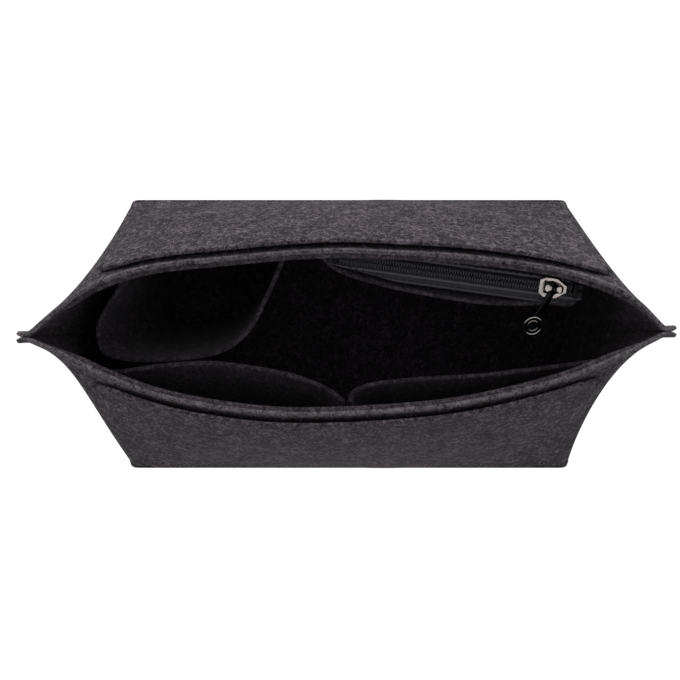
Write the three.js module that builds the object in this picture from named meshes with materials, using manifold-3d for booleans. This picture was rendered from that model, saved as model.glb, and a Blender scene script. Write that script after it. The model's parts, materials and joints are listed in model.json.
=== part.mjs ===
// Felt purse organizer insert: a boxed base whose walls lean in to a pointed mouth, pinched at both ends.
// Millimetres, +Z up, origin on the floor under the middle of the base. +Y is the back, +X the right end.

import * as THREE from 'three';
import { mergeVertices } from 'three/addons/utils/BufferGeometryUtils.js';
import Module from 'manifold-3d';

const wasm = await Module();
wasm.setup();

// Felt
const feltThickness = 2.2;
const plyGap = 0.3;

// Body, measured on the outer faces of the two walls
const height = 150;
const baseLength = 250;
const baseDepth = 147.5;
const cornerSoftness = 9;
const wallBelly = 3;

// Rim: where the fins start, where each wall folds, and how far each wall stands from the middle
const tipReach = 140.5;
const finLength = 4.5;
const finSoftness = 3;
const rimCornerReach = 114;
const backRim = { side: 1, cornerDepth: 27.5, mouthDepth: 38 };
const frontRim = { side: -1, cornerDepth: 21.3, mouthDepth: 35 };

// Lining, held back from the side seams so that its two halves clear each other
const liningSetback = 7;

// Slip pockets on the outside of both long walls
const slipPocketDrop = 5;
const slipPocketGape = 2.6;
const tackLength = 6;
const tackWidth = 1.4;
const tackHeight = 0.8;

// Bottle pocket, a loop of felt on the back lining
const bottlePocketDrop = 38;
const bottleLeftSeam = -101;
const bottleRightSeam = -28;
const bottleSwell = 17;
const bottleFootReach = 60;
const bottleClearance = 2;

// Front pockets, two panels that share a seam in the middle of the front lining
const frontPocketDrop = 22;
const frontPocketFoot = 25;
const frontPocketGape = 20;
const frontPocketEnd = 20;

// Zip pocket on the back lining
const zipDrop = 25;
const zipLeftEnd = -6;
const zipRightEnd = 106;
const zipLeftStandOff = 5.6;
const zipRightStandOff = 12.5;
const zipTilt = THREE.MathUtils.degToRad(8);
const zipPocketFoot = 30;
const zipPocketLeftSeam = -14;
const zipPocketRightSeam = 108;

// Zip: tape, coil and stops
const tapeThickness = 0.6;
const tapeEndMargin = 3;
const upperTapeWidth = 5;
const lowerTapeWidth = 12;
const lowerTapeLeftWidth = 5;
const lowerTapeRightWidth = 6;
const coilWidth = 2.3;
const coilHeight = 1.9;
const coilSpacing = 1.6;
const stopLength = 2;
const stopWidth = 6.6;
const stopHeight = 2.4;

// Slider and pull
const sliderClearance = 0.5;
const sliderLength = 12.6;
const sliderPlate = 0.9;
const sliderFlange = 1.2;
const sliderFlangeLength = 6.3;
const sliderTailWidth = 6.3;
const sliderTailTaper = 2.1;
const sliderNoseWidth = 4.4;
const sliderNoseTaper = 3.1;
const sliderPost = 0.9;
const sliderFromStop = 9.2;
const archLength = 8;
const archLeg = 1.3;
const archHeight = 4;
const archWidth = 2.2;
const knuckleClearance = 0.4;
const knuckleWall = 0.9;
const knuckleLength = 3;
const pullLength = 24;
const pullThickness = 1.2;
const pullNeck = 3.2;
const pullEyeRadius = 4.1;
const pullHoleRadius = 1.9;
const pullHang = THREE.MathUtils.degToRad(25);
const pullLean = THREE.MathUtils.degToRad(15);

// Steps along the sheets
const rootSteps = 3;
const endSteps = 4;
const cornerSteps = 5;
const slipPocketFoldStep = 3;
const wallSteps = 8;
const wallRows = 6;
const pocketSteps = 26;
const pocketRows = 4;
const tapeSteps = 20;
const roundSteps = 9;

const felt = new THREE.MeshStandardMaterial({ color: '#4a464b', roughness: 0.96, metalness: 0 });
const tape = new THREE.MeshStandardMaterial({ color: '#222126', roughness: 0.85, metalness: 0 });
const nylon = new THREE.MeshStandardMaterial({ color: '#1a1a1d', roughness: 0.45, metalness: 0 });
const thread = new THREE.MeshStandardMaterial({ color: '#1f1e21', roughness: 0.8, metalness: 0 });
const gunmetal = new THREE.MeshStandardMaterial({ color: '#8b857f', roughness: 0.25, metalness: 1 });

const { lerp } = THREE.MathUtils;
const flat = (x, y) => new THREE.Vector2(x, y);
const organizer = new THREE.Group();

function addPiece(name, geometry, material, parent = organizer) {
  const mesh = new THREE.Mesh(geometry, material);
  mesh.name = name;
  parent.add(mesh);
  return mesh;
}

// Heights shared by several pieces
const wallFoot = feltThickness + plyGap;
const liningFoot = wallFoot + feltThickness + plyGap;
const liningFace = 2 * feltThickness + plyGap;
const sewnOn = liningFace + plyGap + feltThickness / 2;

// Leading points of one wall's outer face at a height. The half's own y runs outwards from the middle.
function foldPoints(rim, z) {
  const rise = z / height;
  const tip = lerp(baseLength / 2, tipReach, rise);
  const finRoot = flat(-tip, feltThickness + plyGap / 2);
  const cornerReach = lerp(baseLength / 2, rimCornerReach, rise);
  const corner = flat(-cornerReach, lerp(baseDepth / 2, rim.cornerDepth, rise));
  const belly = wallBelly * 4 * rise * (1 - rise);
  const apex = lerp(baseDepth / 2, rim.mouthDepth, rise) + belly;
  const crown = flat(0, 2 * apex - corner.y);
  const wall = new THREE.QuadraticBezierCurve(corner, crown, flat(cornerReach, corner.y));
  return { finRoot, corner, wall, endLength: finRoot.distanceTo(corner), cornerReach };
}

// Left half of a section: along the end panel from a point past the fin, round the corner, to mid wall
function leftHalf(rim, z, pastRoot) {
  const { finRoot, corner, wall, endLength, cornerReach } = foldPoints(rim, z);
  const start = finRoot.clone().lerp(corner, pastRoot / endLength);
  const bendStart = corner.clone().lerp(finRoot, cornerSoftness / endLength);
  const bendEnd = cornerSoftness / (2 * cornerReach);
  const end = new THREE.LineCurve(start, bendStart).getPoints(endSteps).slice(0, -1);
  const fold = new THREE.QuadraticBezierCurve(bendStart, corner, wall.getPoint(bendEnd));
  const points = [...end, ...fold.getPoints(cornerSteps)];
  for (let step = 1; step <= wallSteps; step += 1) {
    points.push(wall.getPoint(lerp(bendEnd, 0.5, step / wallSteps)));
  }
  return points;
}

const mirrored = (points) => points.map((point) => flat(-point.x, point.y)).reverse();
const whole = (half) => [...half, ...mirrored(half.slice(0, -1))];

function wallSection(rim, z) {
  const { finRoot, corner, endLength } = foldPoints(rim, z);
  const finEnd = flat(finRoot.x - finLength, finRoot.y);
  const rootStart = flat(finRoot.x - finSoftness, finRoot.y);
  const rootEnd = finRoot.clone().lerp(corner, finSoftness / endLength);
  const root = new THREE.QuadraticBezierCurve(rootStart, finRoot, rootEnd).getPoints(rootSteps);
  return whole([finEnd, ...root, ...leftHalf(rim, z, liningSetback)]);
}

const liningSection = (rim, z) => whole(leftHalf(rim, z, liningSetback));

// A line moved sideways by a distance, to the left of its direction
function offsetLine(points, distance) {
  return points.map((point, i) => {
    const before = point.clone().sub(points[Math.max(i - 1, 0)]).normalize();
    const after = points[Math.min(i + 1, points.length - 1)].clone().sub(point).normalize();
    const along = before.add(after).normalize();
    return flat(point.x - along.y * distance, point.y + along.x * distance);
  });
}

// Height of the lining's inner face above the middle line at x, less what is sewn onto it
function liningAt(rim, x, z, inset) {
  const line = offsetLine(liningSection(rim, z), -inset);
  const after = line.findIndex((point, i) => i > 0 && point.x >= x);
  const [a, b] = [line[after - 1], line[after]];
  return lerp(a.y, b.y, (x - a.x) / (b.x - a.x));
}

const raise = (points, rim, z) => points.map((point) => new THREE.Vector3(point.x, rim.side * point.y, z));
const level = (points, z) => points.map((point) => new THREE.Vector3(point.x, point.y, z));

// Turns a closed geometry right side out
function faceOutwards(geometry) {
  const position = geometry.getAttribute('position');
  const index = geometry.getIndex();
  const [a, b, c] = [new THREE.Vector3(), new THREE.Vector3(), new THREE.Vector3()];
  let volume = 0;
  for (let i = 0; i < index.count; i += 3) {
    a.fromBufferAttribute(position, index.getX(i));
    b.fromBufferAttribute(position, index.getX(i + 1));
    c.fromBufferAttribute(position, index.getX(i + 2));
    volume += a.dot(b.cross(c));
  }
  if (volume < 0) {
    index.array.reverse();
  }
  return geometry;
}

// A closed sheet between two faces, each given as rows of points from the bottom up
function closedSheet(outer, inner) {
  const rows = outer.length;
  const columns = outer[0].length;
  const at = (face, row, column) => (face * rows + row) * columns + column;
  const index = [];
  const quad = (a, b, c, d) => index.push(a, b, c, a, c, d);
  for (let row = 0; row < rows - 1; row += 1) {
    for (let column = 0; column < columns - 1; column += 1) {
      quad(at(0, row, column), at(0, row, column + 1), at(0, row + 1, column + 1), at(0, row + 1, column));
      quad(at(1, row, column), at(1, row + 1, column), at(1, row + 1, column + 1), at(1, row, column + 1));
    }
    quad(at(0, row, 0), at(0, row + 1, 0), at(1, row + 1, 0), at(1, row, 0));
    const last = columns - 1;
    quad(at(0, row, last), at(1, row, last), at(1, row + 1, last), at(0, row + 1, last));
  }
  for (let column = 0; column < columns - 1; column += 1) {
    quad(at(0, 0, column), at(1, 0, column), at(1, 0, column + 1), at(0, 0, column + 1));
    const top = rows - 1;
    quad(at(0, top, column), at(0, top, column + 1), at(1, top, column + 1), at(1, top, column));
  }
  const geometry = new THREE.BufferGeometry().setFromPoints([...outer.flat(), ...inner.flat()]);
  geometry.setIndex(index);
  return faceOutwards(geometry);
}

// A ply that follows one wall between two heights, from an outer to an inner distance off its outer face.
// Plies that lie on each other share their upper rows, so that their facets run side by side.
function ply(rim, sectionAt, from, to, outerOffset, innerOffset) {
  const outer = [];
  const inner = [];
  for (let row = 0; row <= wallRows; row += 1) {
    const z = row === 0 ? from : (to * row) / wallRows;
    const line = sectionAt(rim, z);
    outer.push(raise(offsetLine(line, outerOffset), rim, z));
    inner.push(raise(offsetLine(line, innerOffset), rim, z));
  }
  return closedSheet(outer, inner);
}

// A felt panel ruled between a foot line and a top line, both drawn along the middle of the felt in the
// half's own frame
function panel(rim, footLine, topLine) {
  const foot = new THREE.CatmullRomCurve3(footLine).getSpacedPoints(pocketSteps);
  const top = new THREE.CatmullRomCurve3(topLine).getSpacedPoints(pocketSteps);
  const outer = [];
  const inner = [];
  for (let row = 0; row <= pocketRows; row += 1) {
    const line = foot.map((point, i) => point.clone().lerp(top[i], row / pocketRows));
    const plan = line.map((point) => flat(point.x, point.y));
    const lift = (point, i) => new THREE.Vector3(point.x, rim.side * point.y, line[i].z);
    outer.push(offsetLine(plan, feltThickness / 2).map(lift));
    inner.push(offsetLine(plan, -feltThickness / 2).map(lift));
  }
  return closedSheet(outer, inner);
}

// Walls and their linings
const halves = { back: backRim, front: frontRim };
for (const [name, rim] of Object.entries(halves)) {
  addPiece(`${name}_wall`, ply(rim, wallSection, wallFoot, height, 0, -feltThickness), felt);
  const liningOuter = -feltThickness - plyGap;
  addPiece(`${name}_lining`, ply(rim, liningSection, liningFoot, height, liningOuter, -liningFace), felt);
}

// Base: an outer panel under the walls and slip pockets, and an inner one between the walls
function basePanel() {
  const x = baseLength / 2;
  const y = baseDepth / 2 + plyGap + feltThickness;
  const soft = cornerSoftness;
  const outline = new THREE.Shape();
  outline.moveTo(-x + soft, -y);
  outline.lineTo(x - soft, -y);
  outline.quadraticCurveTo(x, -y, x, -y + soft);
  outline.lineTo(x, y - soft);
  outline.quadraticCurveTo(x, y, x - soft, y);
  outline.lineTo(-x + soft, y);
  outline.quadraticCurveTo(-x, y, -x, y - soft);
  outline.lineTo(-x, -y + soft);
  outline.quadraticCurveTo(-x, -y, -x + soft, -y);
  const options = { depth: feltThickness, bevelEnabled: false, curveSegments: cornerSteps };
  return new THREE.ExtrudeGeometry(outline, options);
}

function baseLining() {
  const top = wallFoot + feltThickness;
  const inset = -feltThickness - plyGap;
  const back = offsetLine(liningSection(backRim, top), inset);
  const front = offsetLine(liningSection(frontRim, top), inset);
  const outline = new THREE.Shape([...back, ...front.map((point) => flat(point.x, -point.y)).reverse()]);
  const options = { depth: feltThickness, bevelEnabled: false };
  return new THREE.ExtrudeGeometry(outline, options).translate(0, 0, wallFoot);
}

addPiece('base_panel', basePanel(), felt);
addPiece('base_lining', baseLining(), felt);

// Slip pockets: flat on the wall at the foot and the ends, standing a little open at the middle of the top
const slipPocketTop = height - slipPocketDrop;

function slipPocketLine(rim, z) {
  const line = whole(leftHalf(rim, z, liningSetback).slice(endSteps + slipPocketFoldStep));
  const opening = slipPocketGape * ((z - wallFoot) / (slipPocketTop - wallFoot)) ** 2;
  return offsetLine(line, plyGap).map((point, i) => {
    const share = i / (line.length - 1);
    return flat(point.x, point.y + opening * Math.sin(Math.PI * share));
  });
}

for (const [name, rim] of Object.entries(halves)) {
  const pocket = ply(rim, slipPocketLine, wallFoot, slipPocketTop, feltThickness, 0);
  addPiece(`${name}_slip_pocket`, pocket, felt);
}

// Bar tacks at the ends of the slip pockets' mouths, standing along the pocket's outer face
function addTack(name, rim, end) {
  const line = (z) => offsetLine(slipPocketLine(rim, z), feltThickness + plyGap + tackHeight / 2);
  const foot = line(slipPocketTop - tackLength);
  const top = line(slipPocketTop);
  const i = end < 0 ? 1 : foot.length - 2;
  const [low] = raise([foot[i]], rim, slipPocketTop - tackLength);
  const [high] = raise([top[i]], rim, slipPocketTop);
  const [beside] = raise([top[i + 1]], rim, slipPocketTop);
  const up = high.clone().sub(low).normalize();
  const out = beside.sub(high).normalize().cross(up).normalize();
  const across = up.clone().cross(out);
  const mesh = addPiece(name, new THREE.BoxGeometry(tackWidth, tackLength, tackHeight), thread);
  mesh.position.copy(low).lerp(high, 0.5);
  mesh.quaternion.setFromRotationMatrix(new THREE.Matrix4().makeBasis(across, up, out));
}

for (const [name, rim] of Object.entries(halves)) {
  addTack(`${name}_left_tack`, rim, -1);
  addTack(`${name}_right_tack`, rim, 1);
}

// Front pockets. Each top edge leaves the shared seam, stands off the lining and ends on the end panel.
const frontPocketTop = height - frontPocketDrop;
const frontPocketStart = feltThickness / 2 + plyGap / 2;
const leftPocketEdge = [[0.05, 0.28], [0.18, 0.7], [0.38, 0.96], [0.52, 0.97], [0.7, 0.78], [0.9, 0.36]];
const rightPocketEdge = [[0.03, 0.36], [0.08, 0.52], [0.22, 0.6], [0.5, 0.63], [0.8, 0.5]];

function endPanelLine(z) {
  const line = offsetLine(leftHalf(frontRim, z, frontPocketEnd), -sewnOn).reverse();
  line[0].x = -frontPocketStart;
  return line;
}

function frontPocketEdge(edge) {
  const line = endPanelLine(frontPocketTop);
  const end = line[line.length - 1];
  const points = edge.map(([along, off]) => {
    const x = lerp(-frontPocketStart, end.x, along);
    return flat(x, liningAt(frontRim, x, frontPocketTop, sewnOn) - off * frontPocketGape);
  });
  return [line[0], ...points, end];
}

const frontFootLine = endPanelLine(frontPocketFoot);
const leftFrontEdge = frontPocketEdge(leftPocketEdge);
const rightFrontEdge = mirrored(frontPocketEdge(rightPocketEdge));
const leftFrontPanel = panel(
  frontRim, level(frontFootLine, frontPocketFoot), level(leftFrontEdge, frontPocketTop));
const rightFrontPanel = panel(
  frontRim, level(mirrored(frontFootLine), frontPocketFoot), level(rightFrontEdge, frontPocketTop));
addPiece('front_left_pocket', leftFrontPanel, felt);
addPiece('front_right_pocket', rightFrontPanel, felt);

// Bottle pocket: a loop from the left seam round to the right one, just clear of the front left pocket
const bottlePocketTop = height - bottlePocketDrop;
const bottleWidth = bottleRightSeam - bottleLeftSeam;

function bottleLoop(z, reach, swell) {
  const left = liningAt(backRim, bottleLeftSeam, z, sewnOn);
  const right = liningAt(backRim, bottleRightSeam, z, sewnOn);
  const x = (share) => bottleLeftSeam + share * bottleWidth;
  return [
    flat(bottleLeftSeam, left),
    flat(x(0) - swell * 0.4, lerp(left, reach, 0.25)),
    flat(x(0) - swell, lerp(left, reach, 0.68)),
    flat(x(0) - swell * 0.85, lerp(left, reach, 0.92)),
    flat(x(0) - swell * 0.3, reach),
    flat(x(0.34), reach),
    flat(x(0.58), lerp(left, reach, 0.92)),
    flat(x(0.73), lerp(left, reach, 0.74)),
    flat(x(0.86), lerp(right, reach, 0.46)),
    flat(bottleRightSeam, right),
  ];
}

const frontEdgeDepth = Math.min(...leftFrontEdge.map((point) => point.y));
const bottleTopReach = -frontEdgeDepth + feltThickness + bottleClearance;
const bottleFoot = liningFoot;
const bottleFootLine = liningAt(backRim, bottleLeftSeam, bottleFoot, sewnOn) - bottleFootReach;
const bottlePanel = panel(
  backRim, level(bottleLoop(bottleFoot, bottleFootLine, 0), bottleFoot),
  level(bottleLoop(bottlePocketTop, bottleTopReach, bottleSwell), bottlePocketTop));
addPiece('bottle_pocket', bottlePanel, felt);

// Zip line: straight between two points that stand off the back lining
const zipHeight = height - zipDrop;
const zipStart = flat(zipLeftEnd, liningAt(backRim, zipLeftEnd, zipHeight, liningFace) - zipLeftStandOff);
const zipStop = flat(zipRightEnd, liningAt(backRim, zipRightEnd, zipHeight, liningFace) - zipRightStandOff);
const zipLength = zipStart.distanceTo(zipStop);
const zipAlong = zipStop.clone().sub(zipStart).normalize();
const zipForward = flat(zipAlong.y, -zipAlong.x);

// Lower tape's front edge: shares along the zip, and how far the tape reaches there below the coil
const lowerTapeEdge = [
  [0, lowerTapeLeftWidth], [0.16, lerp(lowerTapeLeftWidth, lowerTapeWidth, 0.55)], [0.42, lowerTapeWidth],
  [0.64, lowerTapeWidth], [0.88, lerp(lowerTapeRightWidth, lowerTapeWidth, 0.35)], [1, lowerTapeRightWidth],
];

// Zip pocket panel: it hangs from the lower tape's front edge and is sewn to the lining at both ends
const tapeFoot = tapeThickness + plyGap / 2;

function underTape([along, width]) {
  const forward = width * Math.cos(zipTilt) - feltThickness / 2;
  const drop = width * Math.sin(zipTilt) + tapeFoot * Math.cos(zipTilt) + plyGap;
  const plan = zipStart.clone().lerp(zipStop, along).addScaledVector(zipForward, forward);
  return new THREE.Vector3(plan.x, plan.y, zipHeight - drop);
}

function zipPocketEdge() {
  const edge = lowerTapeEdge.map(underTape);
  const seam = (x, { z }) => new THREE.Vector3(x, liningAt(backRim, x, z, sewnOn), z);
  return [seam(zipPocketLeftSeam, edge[0]), ...edge, seam(zipPocketRightSeam, edge[edge.length - 1])];
}

function zipPocketFootLine() {
  const points = [];
  for (let step = 0; step <= wallSteps; step += 1) {
    const x = lerp(zipPocketLeftSeam, zipPocketRightSeam, step / wallSteps);
    points.push(new THREE.Vector3(x, liningAt(backRim, x, zipPocketFoot, sewnOn), zipPocketFoot));
  }
  return points;
}

addPiece('zip_pocket', panel(backRim, zipPocketFootLine(), zipPocketEdge()), felt);

// Zip frame: x along the zip, y up the tape towards the rim, z out of the tape
const zip = new THREE.Group();
const alongAxis = new THREE.Vector3(zipAlong.x, zipAlong.y, 0);
const upTape = new THREE.Vector3(
  -zipForward.x * Math.cos(zipTilt), -zipForward.y * Math.cos(zipTilt), Math.sin(zipTilt));
const outOfTape = alongAxis.clone().cross(upTape);
zip.position.set(zipStart.x, zipStart.y, zipHeight);
zip.quaternion.setFromRotationMatrix(new THREE.Matrix4().makeBasis(alongAxis, upTape, outOfTape));
organizer.add(zip);

function block(x0, x1, y0, y1, z0, z1) {
  const geometry = new THREE.BoxGeometry(x1 - x0, y1 - y0, z1 - z0);
  return geometry.translate((x0 + x1) / 2, (y0 + y1) / 2, (z0 + z1) / 2);
}

// Tapes under the coil, coil halves either side of the chain's middle, and a stop at each end
const coilInner = coilSpacing / 2;
const coilOuter = coilInner + coilWidth;
const tapeInner = coilInner + plyGap;
const tapeTop = -plyGap / 2;
const tapeBottom = tapeTop - tapeThickness;
const coilFoot = plyGap / 2;
const coilTop = coilFoot + coilHeight;
const tapeStart = -tapeEndMargin;
const tapeEnd = zipLength + tapeEndMargin;

function coilHalf(side) {
  const section = new THREE.Shape();
  const middle = (coilInner + coilOuter) / 2;
  const lift = (coilFoot + coilTop) / 2;
  section.absellipse(side * middle, lift, coilWidth / 2, coilHeight / 2, 0, 2 * Math.PI);
  const length = zipLength - 2 * (stopLength + plyGap);
  const options = { depth: length, bevelEnabled: false, curveSegments: cornerSteps };
  const geometry = new THREE.ExtrudeGeometry(section, options);
  return geometry.rotateX(Math.PI / 2).rotateZ(Math.PI / 2).translate(stopLength + plyGap, 0, 0);
}

function lowerTape() {
  const edge = lowerTapeEdge.map(([along, width]) => flat(along * zipLength, -width));
  const front = new THREE.SplineCurve(edge).getPoints(tapeSteps);
  const outline = new THREE.Shape([
    flat(tapeStart, -tapeInner), flat(tapeStart, -lowerTapeLeftWidth), ...front,
    flat(tapeEnd, -lowerTapeRightWidth), flat(tapeEnd, -tapeInner),
  ]);
  return prism(outline, tapeBottom, tapeTop);
}

const upperTape = block(tapeStart, tapeEnd, tapeInner, upperTapeWidth, tapeBottom, tapeTop);
addPiece('zip_upper_tape', upperTape, tape, zip);
addPiece('zip_lower_tape', lowerTape(), tape, zip);
addPiece('zip_upper_coil', coilHalf(1), nylon, zip);
addPiece('zip_lower_coil', coilHalf(-1), nylon, zip);
const halfStop = stopWidth / 2;
const stopTop = coilFoot + stopHeight;
addPiece('zip_left_stop', block(0, stopLength, -halfStop, halfStop, coilFoot, stopTop), gunmetal, zip);
const rightStop = block(zipLength - stopLength, zipLength, -halfStop, halfStop, coilFoot, stopTop);
addPiece('zip_right_stop', rightStop, gunmetal, zip);

// Solids that are joined or cut, their corners welded first
const weldDistance = 1e-4;

function solid(geometry) {
  const bare = geometry.clone();
  bare.deleteAttribute('normal');
  bare.deleteAttribute('uv');
  const merged = mergeVertices(bare, weldDistance);
  const vertProperties = new Float32Array(merged.getAttribute('position').array);
  const triVerts = new Uint32Array(merged.getIndex().array);
  return new wasm.Manifold(new wasm.Mesh({ numProp: 3, vertProperties, triVerts }));
}

function fromSolid(body) {
  const { vertProperties, triVerts } = body.getMesh();
  const geometry = new THREE.BufferGeometry();
  geometry.setAttribute('position', new THREE.BufferAttribute(vertProperties, 3));
  geometry.setIndex(new THREE.BufferAttribute(triVerts, 1));
  return geometry;
}

function prism(shape, from, to, curveSegments = cornerSteps) {
  const options = { depth: to - from, bevelEnabled: false, curveSegments };
  return new THREE.ExtrudeGeometry(shape, options).translate(0, 0, from);
}

// Slider: two shield-shaped plates held apart by a post between the coil halves, with flanges outside
// the coils that hang down to the tape, and an arch that carries the pull
const flangeInner = coilOuter + sliderClearance;
const sliderHalfWidth = flangeInner + sliderFlange;
const topPlateFoot = coilTop + sliderClearance;
const topPlateTop = topPlateFoot + sliderPlate;
const bottomPlateTop = tapeBottom - sliderClearance;
const joinOverlap = sliderPlate / 3;

function shield() {
  const end = sliderLength / 2;
  const side = [
    flat(-end, sliderTailWidth / 2), flat(sliderTailTaper - end, sliderHalfWidth),
    flat(end - sliderNoseTaper, sliderHalfWidth), flat(end, sliderNoseWidth / 2),
  ];
  const otherSide = side.map((point) => flat(point.x, -point.y)).reverse();
  return new THREE.Shape([...side, ...otherSide]);
}

function arch() {
  const half = archLength / 2;
  const outline = new THREE.Shape();
  outline.moveTo(-half, -joinOverlap);
  outline.lineTo(half, -joinOverlap);
  outline.lineTo(half, archHeight - archLeg);
  outline.quadraticCurveTo(half, archHeight, half - archLeg, archHeight);
  outline.lineTo(archLeg - half, archHeight);
  outline.quadraticCurveTo(-half, archHeight, -half, archHeight - archLeg);
  outline.closePath();
  const window = block(archLeg - half, half - archLeg, -archWidth, archWidth, 0, archHeight - archLeg);
  const body = prism(outline, -archWidth / 2, archWidth / 2).rotateX(Math.PI / 2);
  return solid(body).subtract(solid(window)).translate([0, 0, topPlateTop]);
}

function sliderBody() {
  const flangeReach = sliderFlangeLength / 2;
  let body = solid(prism(shield(), topPlateFoot, topPlateTop));
  body = body.add(solid(prism(shield(), bottomPlateTop - sliderPlate, bottomPlateTop)));
  const postFoot = bottomPlateTop - joinOverlap;
  const postTop = topPlateFoot + joinOverlap;
  const post = block(0, flangeReach, -sliderPost / 2, sliderPost / 2, postFoot, postTop);
  body = body.add(solid(post));
  const flangeFoot = tapeTop + sliderClearance;
  for (const side of [-1, 1]) {
    const [near, far] = [side * flangeInner, side * sliderHalfWidth].sort((a, b) => a - b);
    body = body.add(solid(block(-flangeReach, flangeReach, near, far, flangeFoot, postTop)));
  }
  return fromSolid(body.add(arch()));
}

// Pull: a knuckle round the arch's bar, and a flat tab with a round, pierced end
const barHeight = topPlateTop + archHeight - archLeg / 2;
const boreRadius = Math.hypot(archWidth, archLeg) / 2 + knuckleClearance;
const knuckleRadius = boreRadius + knuckleWall;

function pullBody() {
  const ring = new THREE.Shape().absarc(0, 0, knuckleRadius, 0, 2 * Math.PI);
  ring.holes.push(new THREE.Path().absarc(0, 0, boreRadius, 0, 2 * Math.PI));
  const knuckle = prism(ring, -knuckleLength / 2, knuckleLength / 2, roundSteps).rotateY(Math.PI / 2);
  const half = pullNeck / 2;
  const eye = -knuckleRadius - pullLength + pullEyeRadius;
  const shoulder = Math.asin(half / pullEyeRadius);
  const tab = new THREE.Shape();
  tab.moveTo(half, -boreRadius - knuckleWall / 2);
  tab.lineTo(-half, -boreRadius - knuckleWall / 2);
  tab.absarc(0, eye, pullEyeRadius, Math.PI / 2 + shoulder, Math.PI * 2.5 - shoulder, false);
  tab.closePath();
  tab.holes.push(new THREE.Path().absarc(0, eye, pullHoleRadius, 0, 2 * Math.PI));
  const plate = prism(tab, -pullThickness / 2, pullThickness / 2, roundSteps).rotateZ(-pullLean);
  return fromSolid(solid(knuckle).add(solid(plate)));
}

const slider = new THREE.Group();
slider.position.x = zipLength - stopLength - sliderFromStop - plyGap;
zip.add(slider);
addPiece('zip_slider', sliderBody(), gunmetal, slider);
const pull = addPiece('zip_pull', pullBody(), gunmetal, slider);
pull.position.z = barHeight;
pull.rotation.x = pullHang;

export default organizer;
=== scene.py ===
import json

import bpy
import numpy as np
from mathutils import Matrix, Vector


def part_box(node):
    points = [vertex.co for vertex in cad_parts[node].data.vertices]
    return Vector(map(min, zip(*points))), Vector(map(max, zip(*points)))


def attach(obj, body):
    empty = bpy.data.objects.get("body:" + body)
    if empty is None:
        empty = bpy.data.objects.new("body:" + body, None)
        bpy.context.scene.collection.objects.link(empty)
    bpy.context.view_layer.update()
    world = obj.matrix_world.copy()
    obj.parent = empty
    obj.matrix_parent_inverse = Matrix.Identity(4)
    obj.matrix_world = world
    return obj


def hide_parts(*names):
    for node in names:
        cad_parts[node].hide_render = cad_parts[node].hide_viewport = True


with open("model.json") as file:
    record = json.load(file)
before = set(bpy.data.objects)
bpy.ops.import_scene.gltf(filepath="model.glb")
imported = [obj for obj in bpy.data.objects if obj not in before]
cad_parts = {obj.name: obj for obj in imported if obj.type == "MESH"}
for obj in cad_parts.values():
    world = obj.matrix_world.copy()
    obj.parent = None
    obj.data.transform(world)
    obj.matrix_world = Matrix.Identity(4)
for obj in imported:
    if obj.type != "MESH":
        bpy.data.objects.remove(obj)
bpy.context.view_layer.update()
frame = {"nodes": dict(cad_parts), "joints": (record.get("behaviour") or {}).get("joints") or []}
print("frame loaded with", len(frame["nodes"]), "nodes")

# Shapes are worked out in millimetres, +Z up, +Y to the back wall, and turned to metres in makeMesh
metre = 1000.0


def nodeBox(node):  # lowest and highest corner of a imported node, in mm
    low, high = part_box(node)
    return np.array(low) * metre, np.array(high) * metre


# Camera: straight down over the mouth, framed for a 680 pixel square picture
camera = {
    "place": (0.005, -0.0019, 0.655),
    "lens": 60.76,
    "sensor": 36.0,
    "shift": (-0.0263, -0.0040),
}
cameraData = bpy.data.cameras.new("camera")
cameraData.lens = camera["lens"]
cameraData.sensor_width = camera["sensor"]
cameraData.shift_x, cameraData.shift_y = camera["shift"]
cameraObject = bpy.data.objects.new("camera", cameraData)
cameraObject.location = camera["place"]
bpy.context.scene.collection.objects.link(cameraObject)
bpy.context.scene.camera = cameraObject


# Colours and nodes


def linear(hexColour):  # sRGB hex to linear red, green, blue, alpha
    srgb = np.array([int(hexColour[i:i + 2], 16) for i in (1, 3, 5)]) / 255
    low = srgb / 12.92
    high = ((srgb + 0.055) / 1.055) ** 2.4
    return (*np.where(srgb <= 0.04045, low, high), 1.0)


def addNode(tree, kind, settings=None, inputs=None):  # settings are attributes, inputs are values or links
    node = tree.nodes.new(kind)
    for key, value in (settings or {}).items():
        setattr(node, key, value)
    for key, value in (inputs or {}).items():
        if isinstance(value, bpy.types.NodeSocket):
            tree.links.new(value, node.inputs[key])
        else:
            node.inputs[key].default_value = value
    return node


def newMaterial(name):  # an empty node tree with an output
    material = bpy.data.materials.new(name)
    material.use_nodes = True
    material.node_tree.nodes.clear()
    output = addNode(material.node_tree, "ShaderNodeOutputMaterial")
    return material, material.node_tree, output


def addRamp(tree, value, stops):  # a colour for each value, from stops given as (place, hex)
    node = addNode(tree, "ShaderNodeValToRGB", {}, {"Fac": value})
    ramp = node.color_ramp
    while len(ramp.elements) < len(stops):
        ramp.elements.new(0.5)
    for element, (place, hexColour) in zip(ramp.elements, stops):
        element.position = place
        element.color = linear(hexColour)
    return node.outputs["Color"]


def addNoise(tree, place, grainMm, detail, roughness=0.5, output="Fac"):  # noise with grains of that size
    return addNode(tree, "ShaderNodeTexNoise", {}, {
        "Vector": place, "Scale": metre / grainMm, "Detail": detail, "Roughness": roughness}).outputs[output]


waveBands = 3.1  # bands that a wave texture shows over one unit at scale 1


def addWave(tree, pitchMm, direction, more=None):  # bands laid along the cloth's own surface
    uv = addNode(tree, "ShaderNodeUVMap", {"uv_map": "cloth"}).outputs["UV"]
    inputs = {"Vector": uv, "Scale": metre / pitchMm / waveBands, **(more or {})}
    return addNode(tree, "ShaderNodeTexWave", {"bands_direction": direction}, inputs).outputs["Fac"]


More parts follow.
